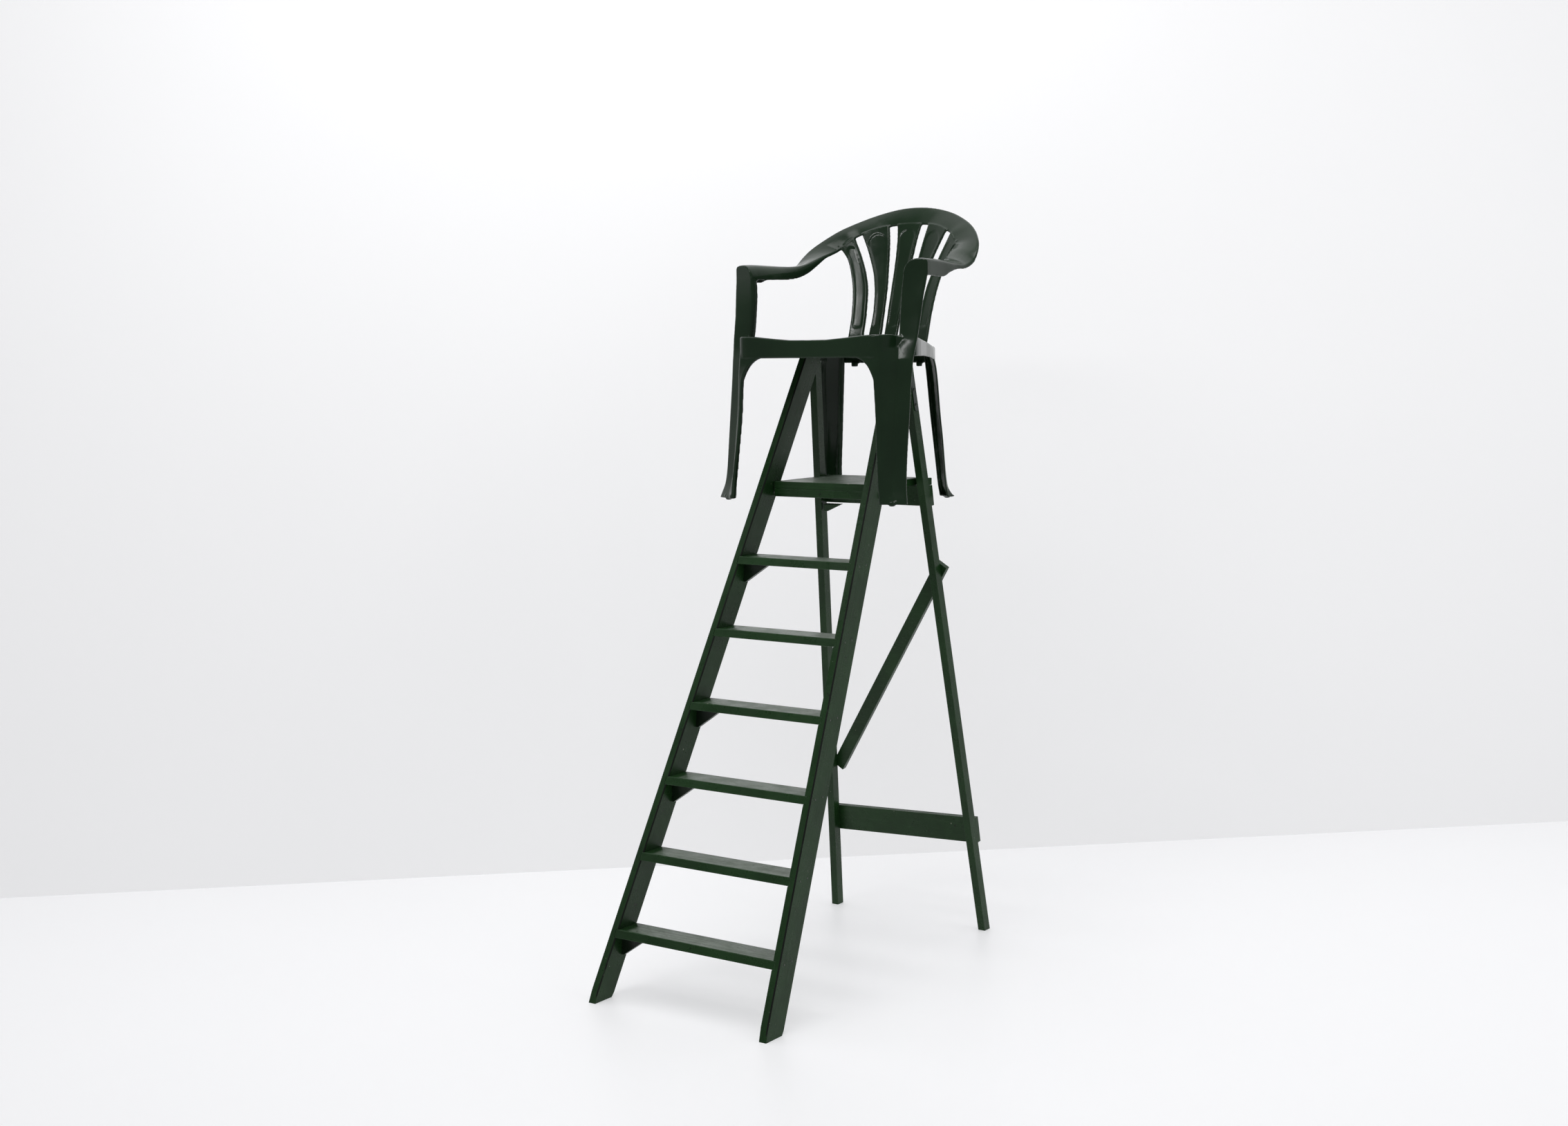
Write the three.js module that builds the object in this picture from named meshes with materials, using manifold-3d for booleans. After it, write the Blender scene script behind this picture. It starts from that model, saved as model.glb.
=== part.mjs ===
// Raised umpire's seat: a wooden platform stepladder with a one-piece moulded
// armchair screwed to its top. Millimetres, +Z up, -Y is the climbing side.
// The geometry is laid out with y = 0 at the front bottom edge of the stiles and
// moved so that the origin is the bottom centre of the whole object.
import * as THREE from 'three';
import { mergeVertices } from 'three/addons/utils/BufferGeometryUtils.js';
import Module from 'manifold-3d';

const wasm = await Module();
wasm.setup();

// ---------------------------------------------------------------- dimensions
const GAP = 0.3;                       // paint and fitting gap between pieces
// front ladder
const LEAN = 0.5022;                   // stile lean, mm of y per mm of height
const STILE_T = 22.2;                  // stile thickness (x)
const STILE_D = 75.4;                  // stile depth measured along y
const HALF_IN = 267.6, TAPER = 0.0777; // inner half width at the floor, taper per mm
const STILE_TOP = 1681;
const TREAD_RISE = 190, TREAD_1 = 181.4, TREAD_T = 20.3, TREADS = 6;
const HOUSING = 8;                     // how deep the tread ends sit in the stiles
const GUSSET_T = 14;
// rear frame (drawn in its own leaning plane)
const REAR_LEAN = 7.62 * Math.PI / 180;
const LEG_OUT = 269.5, LEG_TAPER = 0.0632, LEG_T = 22.4, LEG_D = 28.9;
const RAIL_T = 18, BRACE_T = 17, BRACE_W = 38.5;
// hinge line between both frames
const HINGE_Y = 894.3, HINGE_Z = 1630.8;
// standing platform
const PLAT_TOP = 1329.5, PLAT_T = 20, PLAT_FRONT = 706, PLAT_REAR = 984;
const PLAT_APRON = 42, PIVOT_Y = 716, PIVOT_Z = 1298.5, PIVOT_R = 4;
// top board that carries the chair
const TOP_Z = 1701.4, TOP_HALF = 160;
// moulded armchair
const SHELL = 4.2;
const FOOT_Z = 1284, FOOT_DROP = 11, NUB_H = 4.5, FLOOR_Z = 1706;
// origin of the finished part
const ORIGIN_Y = 611.0;

// ------------------------------------------------------------------ materials
const wood = new THREE.MeshStandardMaterial({ color: 0x22382b, roughness: 0.42, metalness: 0 });
const woodWorn = new THREE.MeshStandardMaterial({ color: 0x2b4235, roughness: 0.5, metalness: 0 });
const plastic = new THREE.MeshStandardMaterial({ color: 0x1b3024, roughness: 0.3, metalness: 0 });
const steel = new THREE.MeshStandardMaterial({ color: 0x2a3a30, roughness: 0.4, metalness: 0.4 });
const zinc = new THREE.MeshStandardMaterial({ color: 0x8d918e, roughness: 0.35, metalness: 1 });

// -------------------------------------------------------------------- helpers
const root = new THREE.Group();
const shift = new THREE.Group();
shift.position.set(0, -ORIGIN_Y, 0);
root.add(shift);

function toManifold(geometry) {
  const g = geometry.index ? geometry.toNonIndexed() : geometry.clone();
  for (const a of Object.keys(g.attributes)) if (a !== 'position') g.deleteAttribute(a);
  const m = mergeVertices(g, 1e-4);
  return new wasm.Manifold(new wasm.Mesh({
    numProp: 3,
    vertProperties: new Float32Array(m.attributes.position.array),
    triVerts: new Uint32Array(m.index.array),
  }));
}
function toGeometry(solid) {
  const m = solid.getMesh();
  const g = new THREE.BufferGeometry();
  const p = new Float32Array(m.numVert * 3);
  for (let i = 0; i < m.numVert; i++) for (let k = 0; k < 3; k++) p[3 * i + k] = m.vertProperties[m.numProp * i + k];
  g.setAttribute('position', new THREE.BufferAttribute(p, 3));
  g.setIndex(new THREE.BufferAttribute(new Uint32Array(m.triVerts), 1));
  return g;
}
function put(name, geometry, material, parent = shift) {
  const g = geometry.index ? geometry : mergeVertices(geometry);
  g.computeVertexNormals();
  const mesh = new THREE.Mesh(g, material);
  mesh.name = name;
  parent.add(mesh);
  return mesh;
}
// closed skin through equal-length closed loops of points, closed at both ends;
// ends: 'flat' any outline, 'wall' a thick polyline, 'fan' a rounded outline
function loft(loops, ends = 'flat') {
  const n = loops[0].length, pos = [], idx = [];
  for (const l of loops) for (const p of l) pos.push(p[0], p[1], p[2]);
  for (let i = 0; i < loops.length - 1; i++) for (let j = 0; j < n; j++) {
    const a = i * n + j, b = i * n + (j + 1) % n, c = a + n, d = b + n;
    idx.push(a, b, d, a, d, c);
  }
  const cap = (base, flip) => {
    const ring = loops[base], tri = [];
    if (ends === 'wall') {
      for (let j = 0; j < n / 2 - 1; j++) tri.push([j, j + 1, n - 2 - j], [j, n - 2 - j, n - 1 - j]);
    } else if (ends === 'fan') {
      const c = ring.reduce((a, p) => [a[0] + p[0] / n, a[1] + p[1] / n, a[2] + p[2] / n], [0, 0, 0]);
      const k = pos.length / 3 - base * n;
      pos.push(...c);
      for (let j = 0; j < n; j++) tri.push([j, (j + 1) % n, k]);
    } else {
      // lay the outline in its mean plane and triangulate it there
      const o = new THREE.Vector3(...ring[0]), nrm = new THREE.Vector3();
      for (let j = 0; j < n; j++) {
        const a = new THREE.Vector3(...ring[j]).sub(o), b = new THREE.Vector3(...ring[(j + 1) % n]).sub(o);
        nrm.add(a.cross(b));
      }
      nrm.normalize();
      const ex = new THREE.Vector3(...ring[1]).sub(o).normalize(), ey = nrm.clone().cross(ex);
      const flat = ring.map(p => { const v = new THREE.Vector3(...p).sub(o); return new THREE.Vector2(v.dot(ex), v.dot(ey)); });
      tri.push(...THREE.ShapeUtils.triangulateShape(flat, []));
    }
    for (const t of tri) {
      const f = t.map(k => base * n + k);
      flip ? idx.push(f[0], f[2], f[1]) : idx.push(f[0], f[1], f[2]);
    }
  };
  cap(0, true); cap(loops.length - 1, false);
  const g = new THREE.BufferGeometry();
  g.setAttribute('position', new THREE.BufferAttribute(new Float32Array(pos), 3));
  g.setIndex(idx);
  // outward orientation
  let vol = 0;
  const P = k => new THREE.Vector3(pos[3 * k], pos[3 * k + 1], pos[3 * k + 2]);
  for (let i = 0; i < idx.length; i += 3) vol += P(idx[i]).dot(P(idx[i + 1]).cross(P(idx[i + 2])));
  if (vol < 0) { for (let i = 0; i < idx.length; i += 3) { const t = idx[i]; idx[i] = idx[i + 1]; idx[i + 1] = t; } g.setIndex(idx); }
  return g;
}
// extrude a polygon given in (y,z) along x, then map every point
function slabX(poly, x0, x1, map = null) {
  const loops = [x0, x1].map(x => poly.map(([y, z]) => (map ? map(x, y, z) : [x, y, z])));
  return loft(loops);
}
// block with eight corners given by (x range at each z) for boards lying in z
function board(poly, z0, z1) { // poly in (x,y)
  return loft([z0, z1].map(z => poly.map(([x, y]) => [x, y, z])));
}
function cylinderX(x0, x1, y, z, r, seg = 12) {
  const g = new THREE.CylinderGeometry(r, r, Math.abs(x1 - x0), seg);
  g.rotateZ(Math.PI / 2);
  g.translate((x0 + x1) / 2, y, z);
  return g;
}
function cylinderZ(x, y, z0, z1, r, seg = 12) {
  const g = new THREE.CylinderGeometry(r, r, z1 - z0, seg);
  g.rotateX(Math.PI / 2);
  g.translate(x, y, (z0 + z1) / 2);
  return g;
}
// lathe profile [radius, height] turned about an X line: height runs along +X
function latheX(profile, x, y, z, dir = 1, seg = 20) {
  const g = new THREE.LatheGeometry(profile.map(p => new THREE.Vector2(p[0], p[1])), seg);
  g.rotateZ(-Math.PI / 2 * dir);
  g.translate(x, y, z);
  return g;
}
const lerp = (a, b, t) => a + (b - a) * t;
function table(rows, t) { // rows sorted by first column, linear blend of the rest
  if (t <= rows[0][0]) return rows[0].slice(1);
  for (let i = 1; i < rows.length; i++) if (t <= rows[i][0]) {
    const k = (t - rows[i - 1][0]) / (rows[i][0] - rows[i - 1][0]);
    return rows[i].slice(1).map((v, j) => lerp(rows[i - 1][j + 1], v, k));
  }
  return rows[rows.length - 1].slice(1);
}
const halfIn = z => HALF_IN - TAPER * z;

// ---------------------------------------------------------------- front ladder
const treadTops = Array.from({ length: TREADS }, (_, i) => TREAD_1 + i * TREAD_RISE);
function treadGeometry(zTop, extra = 0, grow = 0) {
  // front edge flush with the leaning stile front, back edge flush with the back
  const zb = zTop - TREAD_T - grow, zt = zTop + grow;
  const prof = [[zb * LEAN - grow, zb], [zb * LEAN + STILE_D - 5 + grow, zb], [zt * LEAN + STILE_D + grow, zt], [zt * LEAN - grow, zt]];
  const w = halfIn(zTop) + extra;
  return slabX(prof, -w, w);
}
for (const side of [-1, 1]) {
  const prof = [[4.5, 0], [72, 0], [STILE_D + 6, 12], [STILE_TOP * LEAN + STILE_D, STILE_TOP], [STILE_TOP * LEAN, STILE_TOP], [34 * LEAN, 34]];
  let s = toManifold(slabX(prof, 0, STILE_T, (t, y, z) => [side * (halfIn(z) + t), y, z]));
  for (const zt of treadTops) s = s.subtract(toManifold(treadGeometry(zt, HOUSING, GAP)));
  s = s.subtract(toManifold(cylinderX(side * 150, side * 200, PIVOT_Y, PIVOT_Z, 4.3, 14)));
  put(side < 0 ? 'stile_left' : 'stile_right', toGeometry(s), wood);
}
treadTops.forEach((zt, i) => put(`tread_${i + 1}`, treadGeometry(zt, HOUSING - GAP), woodWorn));
// plywood gussets in the corner below a tread, on the inner face of the left stile
function gusset(side, zTop, drop, reach) {
  const z1 = zTop - TREAD_T - GAP, z0 = z1 - drop;
  const y0 = (z1 - 20) * LEAN + 36;
  const x = z => side * (halfIn(z) - GAP);
  const poly = [[x(z1), z1], [x(z1) - side * reach, z1], [x(z0) - side * 8, z0], [x(z0), z0]];
  return loft([y0, y0 + GUSSET_T].map(y => poly.map(([px, pz]) => [px, y, pz])));
}
for (const i of [1, 3, 4, 6]) put(`tread_gusset_${i}`, gusset(-1, treadTops[i - 1], 52, i === 6 ? 84 : 81), wood);

// ------------------------------------------------------ top board and fixings
const seatBolts = [[-95, 856], [95, 856], [-95, 914], [95, 914]];
{
  const y0 = STILE_TOP * LEAN - 9, y1 = 934;
  let b = toManifold(board([[-TOP_HALF, y0], [TOP_HALF, y0], [TOP_HALF, y1], [-TOP_HALF, y1]], STILE_TOP + GAP, TOP_Z));
  for (const [x, y] of seatBolts) b = b.subtract(toManifold(cylinderZ(x, y, 1690, 1730, 2.9)));
  put('top_board', toGeometry(b), wood);
}

// ------------------------------------------------------------------- platform
const tail = PLAT_FRONT + 22;
{
  const z0 = PLAT_TOP - PLAT_T, zf = PLAT_TOP - PLAT_APRON;
  const wF = 161, wR = 146.5, yJ = 967.4;
  put('platform_board', board([[-wF, PLAT_FRONT], [wF, PLAT_FRONT], [wF, tail], [wR, yJ], [-wR, yJ], [-wF, tail]], z0, PLAT_TOP), woodWorn);
  put('platform_rear_batten', board([[-185.5, yJ + GAP], [185.5, yJ + GAP], [185, PLAT_REAR], [-185, PLAT_REAR]], z0, PLAT_TOP), wood);
  let rail = toManifold(board([[-wF, PLAT_FRONT], [wF, PLAT_FRONT], [wF, tail], [-wF, tail]], zf, z0 - GAP));
  for (const side of [-1, 1]) {
    const xo = halfIn(PIVOT_Z) + STILE_T;                 // outer face of the stile at the bolt
    rail = rail.subtract(toManifold(cylinderX(side * 118, side * 200, PIVOT_Y, PIVOT_Z, PIVOT_R + GAP)));
    // washer on the stile, domed bolt head outside it, shank through stile and rail
    put(side < 0 ? 'pivot_washer_left' : 'pivot_washer_right',
      latheX([[PIVOT_R + GAP, 1.4], [13, 1.4], [13, 3.1], [PIVOT_R + GAP, 3.1], [PIVOT_R + GAP, 1.4]], side * xo, PIVOT_Y, PIVOT_Z, side, 18), zinc);
    put(side < 0 ? 'pivot_bolt_left' : 'pivot_bolt_right',
      latheX([[0, -(xo - 122)], [PIVOT_R, -(xo - 122)], [PIVOT_R, 3.4], [9, 3.4], [9, 4.8], [7.4, 6.8], [4.2, 8], [0, 8.4]], side * xo, PIVOT_Y, PIVOT_Z, side, 16), zinc);
  }
  put('platform_front_rail', toGeometry(rail), wood);
}

// ----------------------------------------------------------------- rear frame
// u = distance along the leg below the hinge line, d = distance behind the
// front face of the legs; turned into y and z by the lean of the frame.
const cb = Math.cos(REAR_LEAN), sb = Math.sin(REAR_LEAN);
const rear = (u, d) => [HINGE_Y + u * sb + d * cb, HINGE_Z - u * cb + d * sb];
const uOf = z => (HINGE_Z - z) / cb;
const legOut = u => LEG_OUT - LEG_TAPER * (HINGE_Z - u * cb);
function rearBlock(poly, d0, d1) { // poly in (x, u)
  return loft([d0, d1].map(d => poly.map(([x, u]) => [x, ...rear(u, d)])));
}
const U_END = 1662, U_TOP = -28;          // the blank runs past the floor and is cut off level there
for (const side of [-1, 1]) {
  // floor end cut level with the ground, top end cut back along the stile
  const out = u => side * legOut(u), inn = u => side * (legOut(u) - LEG_T);
  let leg = toManifold(rearBlock([[out(U_TOP), U_TOP], [out(U_END), U_END], [inn(U_END), U_END], [inn(U_TOP), U_TOP]], 0, LEG_D));
  leg = leg.subtract(toManifold(board([[-400, 900], [400, 900], [400, 1300], [-400, 1300]], -60, 0)));
  const yb = z => z * LEAN + STILE_D + 0.8;               // stile rear face plus clearance
  leg = leg.subtract(toManifold(slabX([[yb(1500) - 300, 1500], [yb(1500), 1500], [yb(1760), 1760], [yb(1760) - 300, 1760]], side * 100, side * 260)));
  // pocket for the inner head of the hinge rivet, two pilot holes for the strap screws
  leg = leg.subtract(toManifold(cylinderX(side * 159.5, side * 190, HINGE_Y, HINGE_Z, 9)));
  for (const u of [54.5, 97]) {
    const [y, z] = rear(u, 14.5);
    leg = leg.subtract(toManifold(cylinderX(side * (legOut(u) - 16), side * 220, y, z, 2.3, 10)));
  }
  put(side < 0 ? 'rear_leg_left' : 'rear_leg_right', toGeometry(leg), wood);
}
{
  const u = uOf;
  // upper rail that the platform sits on, across the backs of the legs
  const a = LEG_D + GAP, b = LEG_D + RAIL_T;
  put('upper_rail', rearBlock([[-186, 331], [186, 331], [187, 389], [-187, 389]], a, b), wood);
  // left corner block between the rail and the back of the left leg
  put('rail_gusset_left', rearBlock([[-163, 389.4], [-104, 389.4], [-151, 410], [-163, 410]], 2, 2 + GUSSET_T + 4), wood);
  // lower rail, set a little out of level
  const tilt = 0.042, uc = 1359, h = 38;
  const xe = 250, row = (x, s) => [x, uc - x * tilt + s * h];
  put('lower_rail', rearBlock([row(-xe, -1), row(xe - 1.5, -1), row(xe + 1, 1), row(-xe - 3, 1)], a, b), wood);
  // diagonal brace
  const p0 = [-219, u(442) + 5], p1 = [205, u(1084) + 5];
  const dx = p1[0] - p0[0], du = p1[1] - p0[1], L = Math.hypot(dx, du);
  const nx = -du / L * BRACE_W / 2, nu = dx / L * BRACE_W / 2;
  put('diagonal_brace', rearBlock([[p0[0] + nx, p0[1] + nu], [p1[0] + nx, p1[1] + nu], [p1[0] - nx, p1[1] - nu], [p0[0] - nx, p0[1] - nu]], a, LEG_D + BRACE_T), wood);
}
// steel hinges at the top of the rear legs
for (const side of [-1, 1]) {
  const x0 = legOut(0) + 0.9;                             // clears the tapering leg face
  const name = side < 0 ? 'left' : 'right';
  // strap on the leg: round eye at the hinge, rounded lower end
  {
    const rows = [];                                      // u, lower d, upper d
    for (const u of [-11.9, -11, -9, -6, -3, 0, 4, 8]) { const w = Math.sqrt(144 - u * u); rows.push([u, -w, w]); }
    rows.push([14, -8, 14], [20, 0, 20], [26, 5, 22.5], [32, 6, 23], [100, 6, 23]);
    for (const k of [0.3, 0.6, 0.85, 0.98]) { const w = 8.5 * Math.sqrt(1 - k * k); rows.push([106 + 8.5 * k, 14.5 - w, 14.5 + w]); }
    const loops = rows.map(([u, lo, hi]) => {
      const base = lerp(x0 + 0.6, legOut(Math.max(u, 0)) + 0.35, Math.min(1, Math.max(0, (u - 14) / 12)));
      return [[0, lo], [2.6, lo], [2.6, hi], [0, hi]].map(([t, d]) => [side * (base + t), ...rear(u, d)]);
    });
    let s = toManifold(loft(loops));
    s = s.subtract(toManifold(cylinderX(side * 150, side * 200, HINGE_Y, HINGE_Z, 4.2, 14)));
    for (const u of [54.5, 97]) { const [y, z] = rear(u, 14.5); s = s.subtract(toManifold(cylinderX(side * 150, side * 200, y, z, 2.7, 10))); }
    put(`leg_strap_${name}`, toGeometry(s), steel);
    for (const [k, u] of [[1, 54.5], [2, 97]]) {
      const [y, z] = rear(u, 14.5), xs = legOut(u) + 2.95;
      put(`leg_strap_screw_${name}_${k}`, latheX([[0, -15], [2, -13], [2, 0.55], [4.6, 0.55], [4.1, 1.8], [2.2, 2.7], [0, 2.9]], side * xs, y, z, side, 12), zinc);
    }
  }
  // stile plate, joggled out over the leg strap
  {
    const xs = z => halfIn(z) + STILE_T;
    const uy = -LEAN / Math.hypot(1, LEAN), uz = -1 / Math.hypot(1, LEAN);
    // distance s down the stile and distance d forward of its rear face
    const pos = (s, d) => [HINGE_Y + uy * s + uz * d, HINGE_Z + uz * s - uy * d];
    const rows = [];                                      // d, half width along s
    for (const d of [-11.9, -11, -9, -6, -3, 0, 4, 8]) rows.push([d, Math.sqrt(144 - d * d)]);
    rows.push([14, 12], [20, 14], [26, 14], [44, 14], [48, 11.5], [50, 8]);
    const loops = rows.map(([d, w]) => [[-w, 0], [w, 0], [w, 2.6], [-w, 2.6]].map(([q, t]) => {
      const [y, z] = pos(q, d);
      return [side * (lerp(x0 + 3.6, xs(z) + 0.35, Math.min(1, Math.max(0, (d - 14) / 12))) + t), y, z];
    }));
    let p = toManifold(loft(loops));
    p = p.subtract(toManifold(cylinderX(side * 140, side * 200, HINGE_Y, HINGE_Z, 4.2, 14)));
    for (const [k, s, d] of [[1, -7, 36], [2, 7, 36]]) {
      const [y, z] = pos(s, d);
      p = p.subtract(toManifold(cylinderX(side * 140, side * 200, y, z, 2.5, 10)));
      put(`stile_plate_screw_${name}_${k}`, latheX([[0, -2], [2, -2], [2, 0.6], [4.4, 0.6], [3.9, 1.8], [2.1, 2.6], [0, 2.8]], side * (xs(z) + 2.95), y, z, side, 12), zinc);
    }
    put(`stile_plate_${name}`, toGeometry(p), steel);
  }
  // rivet through strap and plate
  put(`hinge_rivet_${name}`, latheX([[0, -2.4], [7.5, -2.4], [7.5, 0.2], [3.9, 0.2], [3.9, 6.6], [8, 6.6], [7.2, 8.6], [4.4, 9.8], [0, 10.2]], side * x0, HINGE_Y, HINGE_Z, side, 16), zinc);
}

// -------------------------------------------------------------- moulded chair
// Walls are skin polylines given SHELL mm of thickness on their hidden side.
function offsetLine(pts, t) {
  const n = pts.length;
  return pts.map((b, i) => {
    const seg = (p, q) => { const dx = q[0] - p[0], dy = q[1] - p[1], l = Math.hypot(dx, dy) || 1; return [-dy / l, dx / l]; };
    const n1 = i > 0 ? seg(pts[i - 1], b) : seg(b, pts[i + 1]);
    const n2 = i < n - 1 ? seg(b, pts[i + 1]) : n1;
    let nx = n1[0] + n2[0], ny = n1[1] + n2[1];
    const l = Math.hypot(nx, ny) || 1; nx /= l; ny /= l;
    const k = 1 / Math.max(0.62, nx * n1[0] + ny * n1[1]);
    return [b[0] + nx * t * k, b[1] + ny * t * k];
  });
}
const wallLoop = (pts, t) => [...pts, ...offsetLine(pts, t).reverse()];
const mirrorX = loops => loops.map(l => l.map(([x, y, z]) => [-x, y, z]));
const solids = [];
const addSolid = (loops, ends = 'wall') => solids.push(toManifold(loft(loops, ends)));
const smooth = t => t * t * (3 - 2 * t);

// Rim: one channel that runs round the back and forward as the two arms.
// columns: station, inner edge xyz, outer edge xyz, inner lip, outer lip, crown,
// radius of the inner shoulder
const RIM = [
  [0, 0, 1178, 2046, 0, 1209, 2097.5, 6, 10, 2, 3],
  [1, 35, 1177, 2045.5, 50, 1208, 2094.5, 6, 10, 2, 3],
  [2, 69, 1172, 2043, 98, 1203, 2086, 6, 10, 2, 3],
  [3, 108, 1160, 2036, 144, 1190, 2073, 6, 10, 2, 3],
  [4, 148, 1143, 2021, 188, 1168, 2055.5, 6, 10, 2, 3],
  [5, 168, 1130, 2010, 221, 1147, 2039, 6, 10, 3, 3],
  [6, 184, 1117, 1995.5, 248, 1125, 2020, 7, 10, 3, 3],
  [7, 196, 1101, 1980, 271, 1100, 1999, 8, 9, 3, 4],
  [8, 204, 1079, 1971, 288, 1079, 1980, 8, 9, 3, 4],
  [9, 211, 1054, 1963, 299, 1055, 1957, 10, 9, 4, 6],
  [10, 219, 1024, 1952, 303.5, 1024, 1931, 19, 9, 5, 8],
  [11, 227, 990, 1938, 303, 985, 1918, 26, 10, 6, 11],
  [12, 233, 950, 1928, 303, 945, 1919, 30, 13, 7, 15],
  [13, 238, 905, 1924, 305.5, 902, 1922, 32, 24, 8, 19],
  [14, 241, 860, 1923, 308, 860, 1926, 32, 41, 8, 22],
  [15, 244, 818, 1923, 311.5, 820, 1928.5, 33, 43, 8, 25],
  [16, 247, 785, 1923, 314.5, 790, 1930, 33, 43, 8, 27],
  [17, 249.5, 760, 1922, 316.5, 771, 1930, 32, 42, 8, 28],
  [18, 251.5, 740.6, 1920, 317.5, 756.8, 1928.5, 30, 41, 8, 28],
];
// rounded blend of the table (uniform cubic through the rows)
function spline(rows, t) {
  const n = rows.length, i = Math.min(n - 2, Math.max(0, Math.floor(t))), f = t - i;
  const r = k => {
    if (k < 0) { const m = rows[-k].slice(); m[1] = -m[1]; m[4] = -m[4]; return m; }
    return rows[Math.min(n - 1, k)];
  };
  const p0 = r(i - 1), p1 = r(i), p2 = r(i + 1), p3 = r(i + 2);
  return p1.map((_, k) => k === 0 ? t : 0.5 * (2 * p1[k] + (p2[k] - p0[k]) * f + (2 * p0[k] - 5 * p1[k] + 4 * p2[k] - p3[k]) * f * f + (3 * p1[k] - p0[k] - 3 * p2[k] + p3[k]) * f * f * f));
}
const V = (x, y, z) => new THREE.Vector3(x, y, z);
const RIM_LAST = RIM.length - 1;
const rimAt = t => { const a = spline(RIM, Math.abs(t)); if (t < 0) { a[1] = -a[1]; a[4] = -a[4]; } return a; };
function rimSection(t) {
  const r = rimAt(t);
  const B = V(r[1], r[2], r[3]), C = V(r[4], r[5], r[6]);
  const mid = q => { const a = rimAt(q); return V((a[1] + a[4]) / 2, (a[2] + a[5]) / 2, (a[3] + a[6]) / 2); };
  const e = 0.25, t0 = Math.max(-RIM_LAST, t - e), t1 = Math.min(RIM_LAST, t + e);
  const T = mid(t1).sub(mid(t0)).normalize();
  const ex = C.clone().sub(B), w = ex.length(); ex.normalize();
  const ez = T.clone().cross(ex).normalize();
  // along the arms the lips hang straight down
  const k = smooth(Math.min(1, Math.max(0, (Math.abs(t) - 7) / 2)));
  const up = ez.clone().lerp(V(0, 0, 1), k).normalize();
  const [lA, lD, h, s] = [r[7], r[8], r[9], Math.min(r[10], r[7] * 0.85)];
  const rc = Math.min(6, lD * 0.45);
  const pts = [[0, -lA], [0, -s]];
  for (const q of s > 7 ? [22.5, 45, 67.5] : [45]) { const g = q * Math.PI / 180; pts.push([s * (1 - Math.cos(g)), -s * (1 - Math.sin(g))]); }
  if (s <= 7) { pts.splice(2, 0, [s * 0.08, -s * 0.6]); pts.splice(4, 0, [s * 0.6, -s * 0.08]); }
  pts.push([s, 0]);
  for (const f of [0.33, 0.67]) pts.push([lerp(s, w - rc, f), 0]);
  pts.push([w - rc, 0], [w - rc * 0.3, -rc * 0.3], [w, -rc], [w, -lD]);
  for (const p of pts) { const f = p[0] / w; p[1] += h * 4 * f * (1 - f); }
  const loop = wallLoop(pts, -SHELL);
  return loop.map(([a, b]) => { const p = B.clone().addScaledVector(ex, a).addScaledVector(up, b); return [p.x, p.y, p.z]; });
}
{
  const loops = [], ts = [];
  for (let t = 0; t <= RIM_LAST; t += (t >= 2 && t < 12) ? 0.5 : 1) ts.push(t);
  for (const t of [...ts.slice(1).reverse().map(v => -v), ...ts]) loops.push(rimSection(t));
  addSolid(loops);
  // closed front ends of the arms
  for (const side of [1, -1]) {
    const sec = rimSection(side * RIM_LAST), outer = sec.slice(0, sec.length / 2);
    addSolid([0, SHELL].map(d => outer.map(([x, y, z]) => [x, y + d, z])), 'flat');
  }
}

// Front legs that run on upwards as the arm posts. In plan each one is a wide
// front panel from an inner line B to an outer line A; below the seat it goes on
// forward from B to a narrow front face E-C and a return behind it.
// columns: z, A xy, B xy, E xy, C xy, return
const POST = [
  [1284, 312, 650, 264, 627, 247, 618, 241, 624, 12],
  [1296, 309, 654, 266, 634, 246, 618.5, 240, 624, 13],
  [1326, 302, 663, 268, 650, 244, 619, 238, 624, 14],
  [1357, 299.5, 667.7, 265.5, 658, 242, 622, 235, 625, 15],
  [1429, 298.3, 676, 264, 667, 238.5, 632, 228.5, 629, 15],
  [1520, 298.7, 688, 262, 679, 235, 641, 222, 636, 15],
  [1594, 298.5, 697, 260, 689, 233, 644, 217.5, 637, 15],
  [1612, 298.8, 699.4, 259.6, 691, 232.5, 644.5, 216, 638, 15],
  [1631, 299.2, 702, 259, 693.4, 232, 645.2, 208, 639.5, 15],
  [1645, 299.6, 704, 258.6, 695, 231.6, 646, 200, 641, 15],
  [1655, 299.8, 705.3, 258.3, 696, 231, 646.6, 191, 642.5, 14],
  [1666, 300.2, 706.7, 257.6, 697.6, 231, 647.6, 176, 644.5, 12],
  [1674, 300.8, 708.6, 256.4, 700.6, 231, 649, 158, 646, 10],
  [1690, 302.4, 712.4, 253.6, 706.8, 231.5, 652, 150, 647, 8],
  [1706, 304.2, 716.2, 251, 712.8, 247, 722, 246.8, 726, 20],
  [1720, 305.7, 719.5, 249, 718, 247.8, 726, 247.6, 734, 14],
  [1746, 307.2, 725.2, 247, 724, 246.4, 732, 246.6, 740, 12],
  [1793, 309.7, 735.6, 246, 731, 245.8, 739, 246, 747, 12],
  [1829, 312, 741.5, 246, 735, 245.8, 743, 246, 751, 12],
  [1884, 317, 753.5, 249.8, 740.2, 249.6, 748, 249.8, 756, 12],
  [1902, 317.5, 756.8, 252, 740.4, 252, 748, 252.2, 756, 12],
];
{
  const loops = POST.map(([z, ax, ay, bx, by, ex, ey, cx, cy, ret]) => {
    const pts = [[cx + 1, cy + ret], [cx, cy], [ex, ey], [bx, by], [ax, ay], [ax - 2, ay + 9]];
    return wallLoop(pts, SHELL).map(([x, y]) => [x, y, z]);
  });
  addSolid(loops); addSolid(mirrorX(loops));
}

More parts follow.
